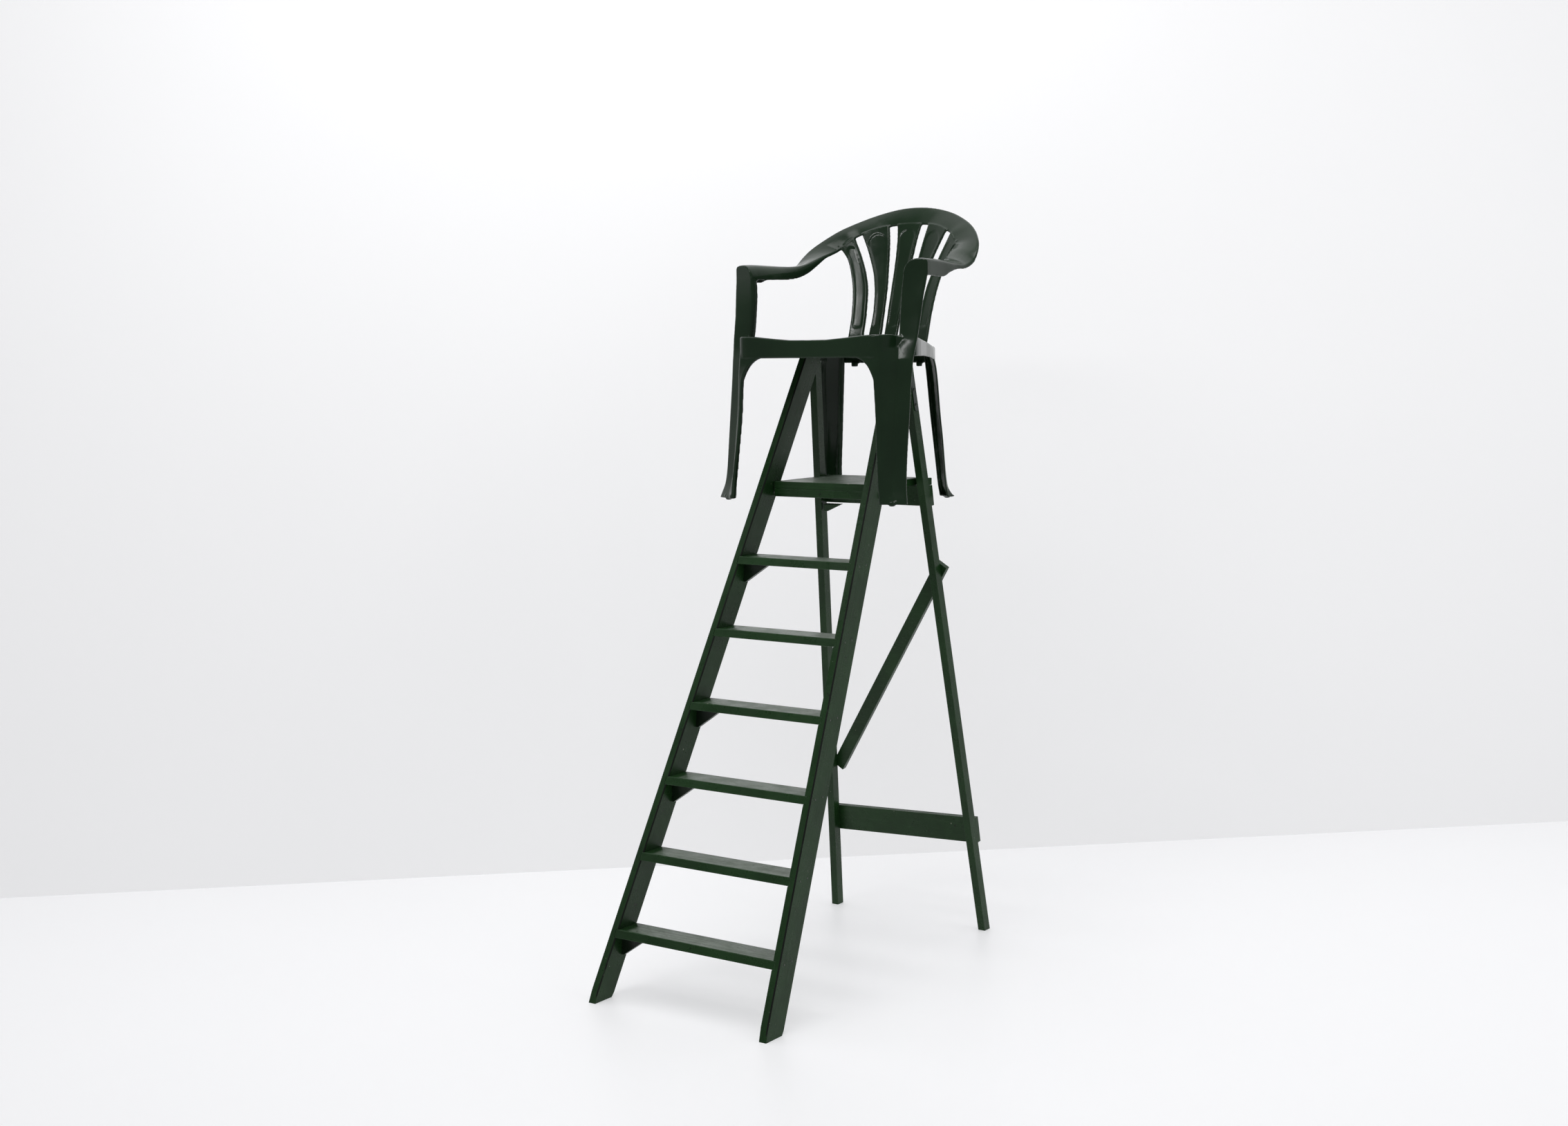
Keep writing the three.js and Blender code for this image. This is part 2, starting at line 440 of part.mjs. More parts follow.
// Rear legs: a panel turned outward, bent at its outer edge, with an inner return
// columns: z, outer end xy, outer corner xy, inner rear corner xy, front of the return xy
const REAR = [
  [1273, 224, 1008, 227, 1042, 162, 1064, 176, 1040],
  [1286, 217, 1011, 217, 1037, 160.5, 1062, 174.5, 1039],
  [1304, 213, 1016, 208.5, 1033, 158.5, 1059, 172.5, 1037],
  [1355, 210.5, 1014, 204, 1028.6, 155, 1055, 169, 1033],
  [1430, 208.5, 1009, 200.7, 1023.7, 148.7, 1052, 162.7, 1029],
  [1508, 205, 1002, 195.5, 1018, 142, 1050, 157, 1023],
  [1630, 198.5, 994, 191.5, 1007.7, 133, 1047, 147.6, 1018],
  [1668, 191, 990, 186.5, 1003, 130, 1043, 144, 1016],
  [1700, 184, 986, 182, 998, 128, 1036, 141, 1012],
];
{
  const loops = REAR.map(([z, ...c]) => wallLoop([0, 2, 4, 6].map(k => [c[k], c[k + 1]]), SHELL).map(([x, y]) => [x, y, z]));
  addSolid(loops); addSolid(mirrorX(loops));
}

// Seat: dished panel with a skirt all round (right half of its plan)
const SEAT = [[0, 645.5], [60, 645.5], [120, 645.5], [180, 645.5], [205, 646], [220, 647.5], [230, 652], [236, 661], [240, 678], [245, 698],
  [248, 711], [258, 718], [274, 721], [288, 723.5], [294, 730], [293, 741], [289, 755], [278, 785], [262, 822], [240, 874], [219, 928], [200, 974],
  [186, 1004], [176, 1024], [162, 1038], [140, 1047], [110, 1054], [75, 1060], [38, 1063.5]];
const seatPlan = (() => {
  const right = SEAT, left = SEAT.slice(1).map(([x, y]) => [-x, y]).reverse();
  return [...right, [0, 1065], ...left];
})();
function insetPlan(d) {
  const n = seatPlan.length;
  return seatPlan.map((p, i) => {
    const a = seatPlan[(i + n - 1) % n], c = seatPlan[(i + 1) % n];
    let tx = c[0] - a[0], ty = c[1] - a[1]; const l = Math.hypot(tx, ty);
    return [p[0] - ty / l * d, p[1] + tx / l * d];
  });
}
const rimZ = (x, y) => {
  const front = 1722 + 12 * smooth(Math.min(1, Math.max(0, (Math.abs(x) - 40) / 180)));
  const side = table([[670, 1734], [700, 1734], [722, 1728], [766, 1724], [820, 1718], [874, 1713], [928, 1706], [974, 1699], [1010, 1695], [1040, 1697], [1070, 1700]], y)[0];
  return lerp(front, side, smooth(Math.min(1, Math.max(0, (y - 650) / 30))));
};
const skirtZ = (x, y) => table([[640, 1673], [690, 1673], [744, 1674], [830, 1673], [920, 1668], [1000, 1658], [1040, 1651], [1070, 1648]], y)[0];
{
  const scale = k => seatPlan.map(([x, y]) => [x * k, 850 + (y - 850) * k]);
  const ring = (pl, fz) => pl.map(([x, y], i) => [x, y, fz(seatPlan[i][0], seatPlan[i][1])]);
  // the dish falls from the raised front and side rims; at the low rear rim it is level at once
  const frontLift = k => (x, y) => { const z = rimZ(x, y); return lerp(z, FLOOR_Z, z > FLOOR_Z ? k : Math.min(1, k * 2.2)); };
  addSolid([
    ring(seatPlan, skirtZ), ring(seatPlan, (x, y) => rimZ(x, y) - 7), ring(insetPlan(1.5), (x, y) => rimZ(x, y) - 3),
    ring(insetPlan(5), rimZ), ring(scale(0.94), (x, y) => rimZ(x, y) - 0.6),
    ring(scale(0.84), frontLift(0.45)), ring(scale(0.72), frontLift(0.85)), ring(scale(0.6), () => FLOOR_Z)], 'fan');
  const hollow = toManifold(loft([
    ring(insetPlan(SHELL), (x, y) => skirtZ(x, y) - 40), ring(insetPlan(SHELL), (x, y) => rimZ(x, y) - 8.6),
    ring(insetPlan(SHELL + 2), (x, y) => rimZ(x, y) - 5), ring(scale(0.94), (x, y) => rimZ(x, y) - 0.6 - SHELL),
    ring(scale(0.84), (x, y) => frontLift(0.45)(x, y) - SHELL), ring(scale(0.72), (x, y) => frontLift(0.85)(x, y) - SHELL),
    ring(scale(0.6), () => FLOOR_Z - SHELL)], 'fan'));
  solids[solids.length - 1] = solids[solids.length - 1].subtract(hollow);
}

// Back: five slats standing in one curved, leaning surface
const backY = (x, z) => 1067 + 0.352 * (z - 1734) - table([[1734, 0.0009], [1850, 0.00115], [2000, 0.0013]], z)[0] * x * x;
const SLAT_OUTER_IN = [[1698, 90], [1733, 90.3], [1760, 90.7], [1819, 95], [1859, 100], [1899, 111], [1950, 132], [2005, 159], [2028, 170]];
const SLAT_OUTER_OUT = [[1698, 136], [1726, 135.6], [1760, 135.1], [1820, 138.5], [1860, 144], [1910, 157], [1951, 173], [1976, 191], [1990, 203], [2028, 215]];
const SLAT_MID_IN = [[1698, 32], [1734, 32.6], [1778, 34.5], [1857, 39], [1917, 46.3], [1998, 57.4], [2042, 66], [2056, 69]];
const SLAT_MID_OUT = [[1698, 72.5], [1731, 72.3], [1779, 70.4], [1838, 75], [1899, 88.2], [1949, 107.7], [2017, 141.2], [2028, 148], [2040, 150]];
const SLAT_CENTRE = [[1698, 22], [1736, 22], [1832, 24.5], [1917, 27], [1997, 33], [2043, 41], [2058, 44]];
function slat(inner, outer, zTop, lipAt) {
  const zs = [];
  for (let k = 0; k <= 10; k++) zs.push(lerp(1688, zTop, k / 10));
  return zs.map(z => {
    const x0 = inner ? table(inner, z)[0] : -table(outer, z)[0], x1 = table(outer, z)[0];
    const lip = lipAt(z), pts = [[x0, backY(x0, z) + lip], [x0, backY(x0, z) + 1.5]];
    for (let k = 0; k <= 4; k++) { const x = lerp(x0 + 1.5, x1 - 1.5, k / 4); pts.push([x, backY(x, z)]); }
    pts.push([x1, backY(x1, z) + 1.5], [x1, backY(x1, z) + lip]);
    return wallLoop(pts, SHELL).map(([x, y]) => [x, y, z]);
  });
}
const lipAt = z => table([[1698, 8], [1960, 9], [2060, 6]], z)[0];
{
  addSolid(slat(null, SLAT_CENTRE, 2052, lipAt));
  for (const s of [slat(SLAT_MID_IN, SLAT_MID_OUT, 2034, lipAt), slat(SLAT_OUTER_IN, SLAT_OUTER_OUT, 2022, lipAt)]) { addSolid(s); addSolid(mirrorX(s)); }
}

// small feet and the two stubs under the rear apron
for (const side of [-1, 1]) {
  solids.push(toManifold(cylinderZ(side * 272, 640.5, FOOT_Z - NUB_H, FOOT_Z + 6, 8, 14)));
  solids.push(toManifold(board([[side * 249, 621], [side * 309, 652], [side * 306, 658], [side * 262, 648], [side * 243, 636]], FOOT_Z, FOOT_Z + SHELL)));
  const z = FOOT_Z - FOOT_DROP;
  solids.push(toManifold(cylinderZ(side * 200, 1041, z - NUB_H, z + 6, 8, 14)));
  solids.push(toManifold(board([[side * 222, 1012], [side * 225, 1040], [side * 164, 1061], [side * 176, 1042]], z, z + SHELL)));
  solids.push(toManifold(board([[side * 101, 1051.2], [side * 119, 1048], [side * 119, 1038], [side * 101, 1040]], 1640, 1652)));
}
{
  let chair = solids[0];
  for (const s of solids.slice(1)) chair = chair.add(s);
  for (const [x, y] of seatBolts) chair = chair.subtract(toManifold(cylinderZ(x, y, 1690, 1730, 2.9)));
  const parts = chair.decompose();
  parts.sort((a, b) => b.volume() - a.volume());
  put('chair_shell', toGeometry(parts[0].simplify(0.05)), plastic);
}
seatBolts.forEach(([x, y], k) => {
  const w = new THREE.LatheGeometry([[3, 0], [9.5, 0], [9.5, 1.4], [3, 1.4], [3, 0]].map(p => new THREE.Vector2(...p)), 16);
  w.rotateX(Math.PI / 2); w.translate(x, y, FLOOR_Z + 0.3);
  put(`seat_washer_${k + 1}`, w, zinc);
  const b = new THREE.LatheGeometry([[0, -14], [2.6, -13], [2.6, 1.7], [5.6, 1.7], [5, 3.6], [2.8, 4.8], [0, 5.1]].map(p => new THREE.Vector2(...p)), 12);
  b.rotateX(Math.PI / 2); b.translate(x, y, FLOOR_Z + 0.3);
  put(`seat_screw_${k + 1}`, b, zinc);
});

root.updateMatrixWorld(true);
export default root;
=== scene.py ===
import bpy
import bmesh
import math
import numpy as np
from mathutils import Matrix, Vector


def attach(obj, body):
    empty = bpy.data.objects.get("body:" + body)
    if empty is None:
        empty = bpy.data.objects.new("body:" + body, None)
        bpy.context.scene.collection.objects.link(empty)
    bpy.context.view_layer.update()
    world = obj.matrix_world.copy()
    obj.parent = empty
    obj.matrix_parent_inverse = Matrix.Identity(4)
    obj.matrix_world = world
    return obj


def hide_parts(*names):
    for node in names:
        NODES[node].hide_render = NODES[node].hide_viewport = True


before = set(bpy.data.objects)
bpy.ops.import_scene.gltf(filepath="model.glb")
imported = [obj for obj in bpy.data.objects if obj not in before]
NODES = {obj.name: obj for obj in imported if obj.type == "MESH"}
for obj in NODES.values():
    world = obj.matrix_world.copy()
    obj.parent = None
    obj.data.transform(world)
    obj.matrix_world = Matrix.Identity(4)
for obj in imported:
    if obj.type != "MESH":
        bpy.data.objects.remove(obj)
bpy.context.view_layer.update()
MM = 0.001
ORIGIN_Y = 611.0          # the drawing's y = 0 is this far in front of the origin
scene = bpy.context.scene


# ------------------------------------------------------------------- camera
F_PX, YAW, PITCH, ROLL = 2967.67, 0.6247, 0.1152, -0.0196
CAM_AT = Vector((3212.05, -3932.97 - ORIGIN_Y, 1762.43)) * MM
forward = Vector((-math.sin(YAW) * math.cos(PITCH), math.cos(YAW) * math.cos(PITCH), -math.sin(PITCH)))
right0 = Vector((math.cos(YAW), math.sin(YAW), 0))
up0 = right0.cross(forward)
right = right0 * math.cos(ROLL) + up0 * math.sin(ROLL)
up = -right0 * math.sin(ROLL) + up0 * math.cos(ROLL)
cam_data = bpy.data.cameras.new("camera")
cam_data.sensor_fit = "HORIZONTAL"
cam_data.sensor_width = 36.0
cam_data.lens = F_PX / 2268 * 36.0
cam_data.clip_start, cam_data.clip_end = 0.05, 60
cam = bpy.data.objects.new("camera", cam_data)
scene.collection.objects.link(cam)
cam.matrix_world = Matrix((
    (right.x, up.x, -forward.x, CAM_AT.x),
    (right.y, up.y, -forward.y, CAM_AT.y),
    (right.z, up.z, -forward.z, CAM_AT.z),
    (0, 0, 0, 1)))
scene.camera = cam


# ---------------------------------------------------------------- materials
class Nodes:
    """A small helper for building a node material."""

    def __init__(self, name):
        self.mat = bpy.data.materials.new(name)
        self.mat.use_nodes = True
        self.t = self.mat.node_tree
        self.t.nodes.clear()
        self.out = self.t.nodes.new("ShaderNodeOutputMaterial")
        self.bsdf = self.t.nodes.new("ShaderNodeBsdfPrincipled")
        self.t.links.new(self.bsdf.outputs[0], self.out.inputs[0])
        self.tc = self.t.nodes.new("ShaderNodeTexCoord")

    def link(self, a, b):
        self.t.links.new(a, b)

    def put(self, value, socket):
        if hasattr(value, "is_output") or isinstance(value, bpy.types.NodeSocket):
            self.link(value, socket)
        else:
            socket.default_value = value

    def mapping(self, rot=(0, 0, 0), scale=(1, 1, 1), loc=(0, 0, 0)):
        """Object coordinates, turned first and scaled after."""
        vec = self.tc.outputs["Object"]
        if any(rot):
            r = self.t.nodes.new("ShaderNodeMapping")
            self.link(vec, r.inputs[0])
            r.inputs["Rotation"].default_value = rot
            vec = r.outputs[0]
        m = self.t.nodes.new("ShaderNodeMapping")
        self.link(vec, m.inputs[0])
        m.inputs["Location"].default_value = loc
        m.inputs["Scale"].default_value = scale
        return m.outputs[0]

    def noise(self, vec, scale, detail=3.0, rough=0.55, dist=0.0):
        n = self.t.nodes.new("ShaderNodeTexNoise")
        self.link(vec, n.inputs["Vector"])
        n.inputs["Scale"].default_value = scale
        n.inputs["Detail"].default_value = detail
        n.inputs["Roughness"].default_value = rough
        n.inputs["Distortion"].default_value = dist
        return n.outputs["Fac"]

    def ramp(self, fac, stops):
        r = self.t.nodes.new("ShaderNodeValToRGB")
        self.link(fac, r.inputs[0])
        e = r.color_ramp.elements
        while len(e) < len(stops):
            e.new(0.5)
        for k, (p, c) in enumerate(stops):
            e[k].position = p
            e[k].color = (*c, 1) if isinstance(c, tuple) else (c, c, c, 1)
        return r.outputs[0]

    def mix(self, fac, a, b):
        m = self.t.nodes.new("ShaderNodeMix")
        m.data_type = "RGBA"
        for v, k in ((fac, 0), (a, 6), (b, 7)):
            self.put((*v, 1) if isinstance(v, tuple) and len(v) == 3 else v, m.inputs[k])
        return m.outputs[2]

    def math(self, op, a, b=0.0, c=None, clamp=False):
        m = self.t.nodes.new("ShaderNodeMath")
        m.operation = op
        m.use_clamp = clamp
        self.put(a, m.inputs[0])
        self.put(b, m.inputs[1])
        if c is not None:
            self.put(c, m.inputs[2])
        return m.outputs[0]

    def xyz(self, vec=None):
        s = self.t.nodes.new("ShaderNodeSeparateXYZ")
        self.link(vec or self.tc.outputs["Object"], s.inputs[0])
        return s.outputs

    def range(self, v, a, b, c=0.0, d=1.0):
        m = self.t.nodes.new("ShaderNodeMapRange")
        m.interpolation_type = "SMOOTHSTEP"
        self.put(v, m.inputs["Value"])
        m.inputs["From Min"].default_value = a
        m.inputs["From Max"].default_value = b
        m.inputs["To Min"].default_value = c
        m.inputs["To Max"].default_value = d
        return m.outputs["Result"]

    def bump(self, height, strength, distance, normal=None):
        b = self.t.nodes.new("ShaderNodeBump")
        b.inputs["Strength"].default_value = strength
        b.inputs["Distance"].default_value = distance
        self.link(height, b.inputs["Height"])
        if normal is not None:
            self.link(normal, b.inputs["Normal"])
        return b.outputs[0]

    def up_facing(self):
        """1 on faces that look up, 0 elsewhere."""
        g = self.t.nodes.new("ShaderNodeNewGeometry")
        s = self.t.nodes.new("ShaderNodeSeparateXYZ")
        self.link(g.outputs["True Normal"], s.inputs[0])
        return self.range(s.outputs["Z"], 0.7, 0.95)


LEAN = math.atan(0.5022)
REAR = math.radians(7.62)
# rotations that lay a board's grain along the Z axis
GRAIN = {"x": (0, math.pi / 2, 0), "stile_left": (LEAN, -0.0693, 0), "stile_right": (LEAN, 0.0693, 0), "rear": (-REAR, 0, 0)}
GREEN, GREEN_DARK, GREEN_PALE = (0.0100, 0.0370, 0.0090), (0.0066, 0.0255, 0.0062), (0.0190, 0.0500, 0.0175)


def painted(name, grain, wear_and_sheen=0.0, chips=0.5, arris=None, gloss=0.30, dark=0.0):
    """Brushed dark green gloss paint over softwood; options add paler tops (wear and painted sheen), a painted shade
    line along an arris and painted shade on brackets.
    """
    n = Nodes(name)
    streak_vec = n.mapping(GRAIN[grain], (55, 55, 2.2))
    streak = n.noise(streak_vec, 6.0, 4.0, 0.6)
    cloud = n.noise(n.mapping(), 7.0, 3.0, 0.6)
    fine = n.noise(n.mapping(), 420.0, 2.0, 0.5)
    base = n.mix(n.range(cloud, 0.35, 0.68), GREEN_DARK, GREEN)
    base = n.mix(n.math("MULTIPLY", n.range(streak, 0.5, 0.75), 0.55), base, GREEN_PALE)
    rough = n.range(n.noise(n.mapping(), 16.0, 4.0, 0.65), 0.3, 0.75, gloss - 0.07, gloss + 0.12)
    if wear_and_sheen > 0:
        # paler tops: partly wear, where feet have dulled and paled the walking surface, and partly painted sheen, the
        # reflection of the bright room at a grazing angle; the grain shows as dark streaks
        scuff = n.noise(n.mapping((0, 0, 0.5), (18, 40, 18)), 2.2, 5.0, 0.7)
        lines = n.noise(n.mapping(GRAIN[grain], (340, 340, 2.6)), 1.0, 4.0, 0.6)
        mask = n.math("MULTIPLY", n.up_facing(), n.range(scuff, 0.30, 0.62, 0.55, 1.0))
        mask = n.math("MULTIPLY", mask, n.range(lines, 0.40, 0.54, 0.20, 1.0))
        # the paler tops fade out between 20 and 42 mm from the left stile's inner face
        end = n.math("ADD", n.math("MULTIPLY", n.xyz()[2], -0.0777), 0.2676)
        end = n.math("ADD", n.xyz()[0], end)
        mask = n.math("MULTIPLY", mask, n.range(end, 0.020, 0.042))
        mask = n.math("MULTIPLY", mask, wear_and_sheen)
        base = n.mix(mask, base, (0.135, 0.165, 0.132))
        rough = n.math("ADD", rough, n.math("MULTIPLY", mask, 0.10))
    if chips > 0:
        # pin-head chips and specks of bare priming
        c = n.noise(n.mapping(), 95.0, 2.0, 0.5)
        c2 = n.noise(n.mapping(loc=(3, 1, 2)), 9.0, 2.0, 0.5)
        m = n.math("MULTIPLY", n.range(c, 0.735, 0.76), n.range(c2, 0.52, 0.62))
        base = n.mix(n.math("MULTIPLY", m, chips), base, (0.30, 0.31, 0.25))
        d = n.noise(n.mapping(loc=(7, 5, 1)), 70.0, 2.0, 0.5)
        base = n.mix(n.math("MULTIPLY", n.range(d, 0.70, 0.74), 0.6), base, (0.004, 0.006, 0.004))
    if arris is not None:
        # a broken dark line along one long edge: painted shade standing in for a narrow groove at the arris, which the
        # mesh does not have
        side, half = arris
        s = n.xyz()
        x_face = n.math("ADD", n.math("MULTIPLY", s[2], -side * 0.0777), half)
        dx = n.math("ABSOLUTE", n.math("SUBTRACT", s[0], x_face))
        dy = n.math("SUBTRACT", n.math("ADD", s[1], ORIGIN_Y * MM), n.math("MULTIPLY", s[2], 0.5022))
        near = n.math("MULTIPLY", n.range(dx, 0.0046, 0.0034), n.range(n.math("ABSOLUTE", dy), 0.0030, 0.0016))
        br = n.range(n.noise(n.mapping(GRAIN[grain], (20, 20, 12)), 1.0, 3.0, 0.6), 0.28, 0.42)
        line = n.math("MULTIPLY", near, br)
        base = n.mix(n.math("MULTIPLY", line, 0.97), base, (0.0012, 0.0020, 0.0012))
        rough = n.math("ADD", rough, n.math("MULTIPLY", line, 0.5))
    if dark > 0:
        # brackets under the treads: painted shade, mixed to near black as the tread above shades them, the green
        # showing only in patches
        base = n.mix(n.range(cloud, 0.2, 0.8, dark, dark - 0.15), base, (0.0030, 0.0052, 0.0030))
    n.put(base, n.bsdf.inputs["Base Color"])
    n.put(rough, n.bsdf.inputs["Roughness"])
    n.bsdf.inputs["Specular IOR Level"].default_value = 0.20
    h = n.math("ADD", n.math("MULTIPLY", streak, 0.75), n.math("MULTIPLY", fine, 0.12))
    b = n.bump(h, 0.45, 0.0009)
    b = n.bump(n.noise(n.mapping(), 11.0, 2.0, 0.5), 0.25, 0.0022, b)
    n.put(b, n.bsdf.inputs["Normal"])
    return n.mat


def edge_paint(name):
    """Paint worn thin along the arrises: paler, broken by chips."""
    n = Nodes(name)
    c = n.noise(n.mapping(), 60.0, 5.0, 0.65)
    base = n.mix(n.range(c, 0.40, 0.62), GREEN, (0.026, 0.058, 0.026))
    chip = n.noise(n.mapping(loc=(2, 4, 6)), 38.0, 4.0, 0.6)
    base = n.mix(n.range(chip, 0.66, 0.72), base, (0.20, 0.20, 0.155))
    n.put(base, n.bsdf.inputs["Base Color"])
    n.bsdf.inputs["Specular IOR Level"].default_value = 0.25
    n.put(n.range(c, 0.3, 0.7, 0.34, 0.52), n.bsdf.inputs["Roughness"])
    n.put(n.bump(c, 0.4, 0.0008), n.bsdf.inputs["Normal"])
    return n.mat


def moulded(name):
    """Dark green injection-moulded polypropylene, glossy where smooth, dusty and scuffed in places."""
    n = Nodes(name)
    cloud = n.noise(n.mapping(), 5.0, 3.0, 0.55)
    base = n.mix(n.range(cloud, 0.3, 0.7), (0.0054, 0.0160, 0.0062), (0.0080, 0.0215, 0.0086))
    dust = n.noise(n.mapping(), 34.0, 6.0, 0.7)
    mask = n.math("MULTIPLY", n.up_facing(), n.range(dust, 0.42, 0.78))
    base = n.mix(n.math("MULTIPLY", mask, 0.22), base, (0.075, 0.085, 0.072))
    scratch = n.noise(n.mapping((0.3, 0.2, 0.6), (120, 8, 30)), 3.0, 3.0, 0.6)
    base = n.mix(n.math("MULTIPLY", n.range(scratch, 0.70, 0.76), 0.25), base, (0.06, 0.075, 0.06))
    n.put(base, n.bsdf.inputs["Base Color"])
    rough = n.range(n.noise(n.mapping(), 22.0, 5.0, 0.65), 0.3, 0.75, 0.12, 0.21)
    rough = n.math("ADD", rough, n.math("MULTIPLY", mask, 0.10))
    n.put(rough, n.bsdf.inputs["Roughness"])
    n.bsdf.inputs["Specular IOR Level"].default_value = 0.24
    peel = n.noise(n.mapping(), 260.0, 2.0, 0.5)
    b = n.bump(peel, 0.10, 0.0004)
    b = n.bump(n.noise(n.mapping(), 14.0, 2.0, 0.4), 0.12, 0.0012, b)
    n.put(b, n.bsdf.inputs["Normal"])
    return n.mat


def metal(name, base_a, base_b, rough_lo, rough_hi, metallic, scale=90.0):
    n = Nodes(name)
    c = n.noise(n.mapping(), scale, 4.0, 0.65)
    n.put(n.mix(n.range(c, 0.35, 0.65), base_a, base_b), n.bsdf.inputs["Base Color"])
    n.put(n.range(c, 0.3, 0.7, rough_lo, rough_hi), n.bsdf.inputs["Roughness"])
    n.bsdf.inputs["Metallic"].default_value = metallic
    n.put(n.bump(n.noise(n.mapping(), scale * 3, 3.0, 0.6), 0.25, 0.0003), n.bsdf.inputs["Normal"])
    return n.mat


# arris: a painted shade line along one long edge of each stile
M_STILE_L = painted("paint_stile_left", "stile_left", chips=0.55, arris=(-1, -0.2676))
M_STILE_R = painted("paint_stile_right", "stile_right", chips=0.75, arris=(1, 0.2898))
# treads and platform: paler tops, partly wear and partly painted sheen
M_TREAD = painted("paint_tread", "x", wear_and_sheen=1.0, chips=0.35, gloss=0.30)
M_PLATFORM = painted("paint_platform", "x", wear_and_sheen=1.0, chips=0.5, gloss=0.36)
M_RAIL = painted("paint_rail", "x", chips=0.4)
# the brackets' paint is darkened to near black: painted shade from the treads above
M_GUSSET_SHADED = painted("paint_gusset_shaded", "x", chips=0.2, dark=0.90)
M_REAR = painted("paint_rear", "rear", chips=0.45)
M_EDGE = edge_paint("paint_edge")
M_PLASTIC = moulded("moulded_plastic")
M_STEEL = metal("painted_steel", (0.010, 0.020, 0.013), (0.020, 0.034, 0.024), 0.30, 0.50, 0.0)
M_ZINC = metal("dull_zinc", (0.20, 0.20, 0.19), (0.42, 0.42, 0.40), 0.32, 0.55, 1.0)
M_SCREW = metal("painted_screw", (0.012, 0.022, 0.014), (0.055, 0.060, 0.048), 0.30, 0.50, 0.0, 240.0)


def dress(name, material, bevel=0.0):
    o = NODES[name]
    me = o.data
    me.materials.clear()
    me.materials.append(material)
    for a in ("custom_normal", "sharp_edge"):
        if me.attributes.get(a):
            me.attributes.remove(me.attributes[a])
    w = o.modifiers.new("weld", "WELD")
    w.merge_threshold = 0.00002
    if bevel > 0:
        me.materials.append(M_EDGE)
        d = o.modifiers.new("flat", "DECIMATE")
        d.decimate_type = "DISSOLVE"
        d.angle_limit = math.radians(0.6)
        b = o.modifiers.new("arris", "BEVEL")
        b.width = bevel
        b.segments = 2
        b.limit_method = "ANGLE"
        b.angle_limit = math.radians(32)
        b.material = 1
        b.use_clamp_overlap = True
        me.polygons.foreach_set("use_smooth", [False] * len(me.polygons))
    else:
        me.polygons.foreach_set("use_smooth", [True] * len(me.polygons))
        s = o.modifiers.new("edges", "EDGE_SPLIT")
        s.split_angle = math.radians(38)
    me.update()


for name in NODES:
    if name == "chair_shell":
        continue
    if name.startswith("stile_left") or name.startswith("stile_right"):
        dress(name, M_STILE_L if name.endswith("left") else M_STILE_R, 0.0014)
    elif name.startswith("tread_gusset"):
        dress(name, M_GUSSET_SHADED, 0.0008)
    elif name.startswith("tread_"):
        dress(name, M_TREAD, 0.0016)
    elif name == "platform_board":
        dress(name, M_PLATFORM, 0.0012)
    elif name in ("platform_rear_batten", "platform_front_rail", "top_board", "upper_rail", "lower_rail", "diagonal_brace", "rail_gusset_left"):
        dress(name, M_RAIL, 0.0012)
    elif name.startswith("rear_leg"):
        dress(name, M_REAR, 0.0014)
    elif name.startswith(("leg_strap_screw", "stile_plate_screw")):
        dress(name, M_SCREW)
    elif name.startswith(("leg_strap", "stile_plate")):
        dress(name, M_STEEL)
    else:
        dress(name, M_ZINC)


# ------------------------------------------------------- moulded armchair
# The same tables as the CAD shell, drawn with smooth curves and rounded corners.
SHELL = 4.4
FOOT_Z, FOOT_DROP, NUB_H, FLOOR_Z = 1284.0, 11.0, 4.5, 1706.0


def pchip(xs, ys, x):
    """Monotone cubic through a table's column."""
    xs, ys = np.asarray(xs, float), np.asarray(ys, float)
    h, dl = np.diff(xs), np.diff(ys) / np.diff(xs)
    m = np.zeros_like(ys)
    m[0], m[-1] = dl[0], dl[-1]
    for i in range(1, len(xs) - 1):
        if dl[i - 1] * dl[i] > 0:
            w1, w2 = 2 * h[i] + h[i - 1], h[i] + 2 * h[i - 1]
            m[i] = (w1 + w2) / (w1 / dl[i - 1] + w2 / dl[i])
    x = np.clip(np.asarray(x, float), xs[0], xs[-1])
    i = np.clip(np.searchsorted(xs, x, side="right") - 1, 0, len(xs) - 2)
    t = (x - xs[i]) / h[i]
    return ((2 * t**3 - 3 * t**2 + 1) * ys[i] + (t**3 - 2 * t**2 + t) * h[i] * m[i]
            + (-2 * t**3 + 3 * t**2) * ys[i + 1] + (t**3 - t**2) * h[i] * m[i + 1])


def rows_at(table, t):
    table = np.asarray(table, float)
    return np.array([pchip(table[:, 0], table[:, k], t) for k in range(1, table.shape[1])])


def lin(table, t):
    table = np.asarray(table, float)
    return np.interp(t, table[:, 0], table[:, 1])


def fillet(pts, radii, n=5):
    """A polyline with its inner corners rounded; always n points a corner."""
    pts = [np.asarray(p, float) for p in pts]
    out = [pts[0]]
    for i in range(1, len(pts) - 1):
        p, a, b = pts[i], pts[i - 1] - pts[i], pts[i + 1] - pts[i]
        la, lb = np.linalg.norm(a), np.linalg.norm(b)
        a, b = a / max(la, 1e-9), b / max(lb, 1e-9)
        cosang = float(np.clip(a @ b, -1, 1))
        ang = math.acos(cosang)
        if ang > math.pi - 0.02 or radii[i] <= 0:
            out += [p] * n
            continue
        t = min(radii[i] / math.tan(ang / 2), 0.48 * la, 0.48 * lb)
        r = t * math.tan(ang / 2)
        c = p + (a + b) / np.linalg.norm(a + b) * (r / math.sin(ang / 2))
        s, e = p + a * t - c, p + b * t - c
        turn = math.pi - ang
        for k in range(n):
            f = k / (n - 1)
            v = (math.sin((1 - f) * turn) * s + math.sin(f * turn) * e) / math.sin(turn) if turn > 1e-3 else s
            out.append(c + v)
    out.append(pts[-1])
    return out


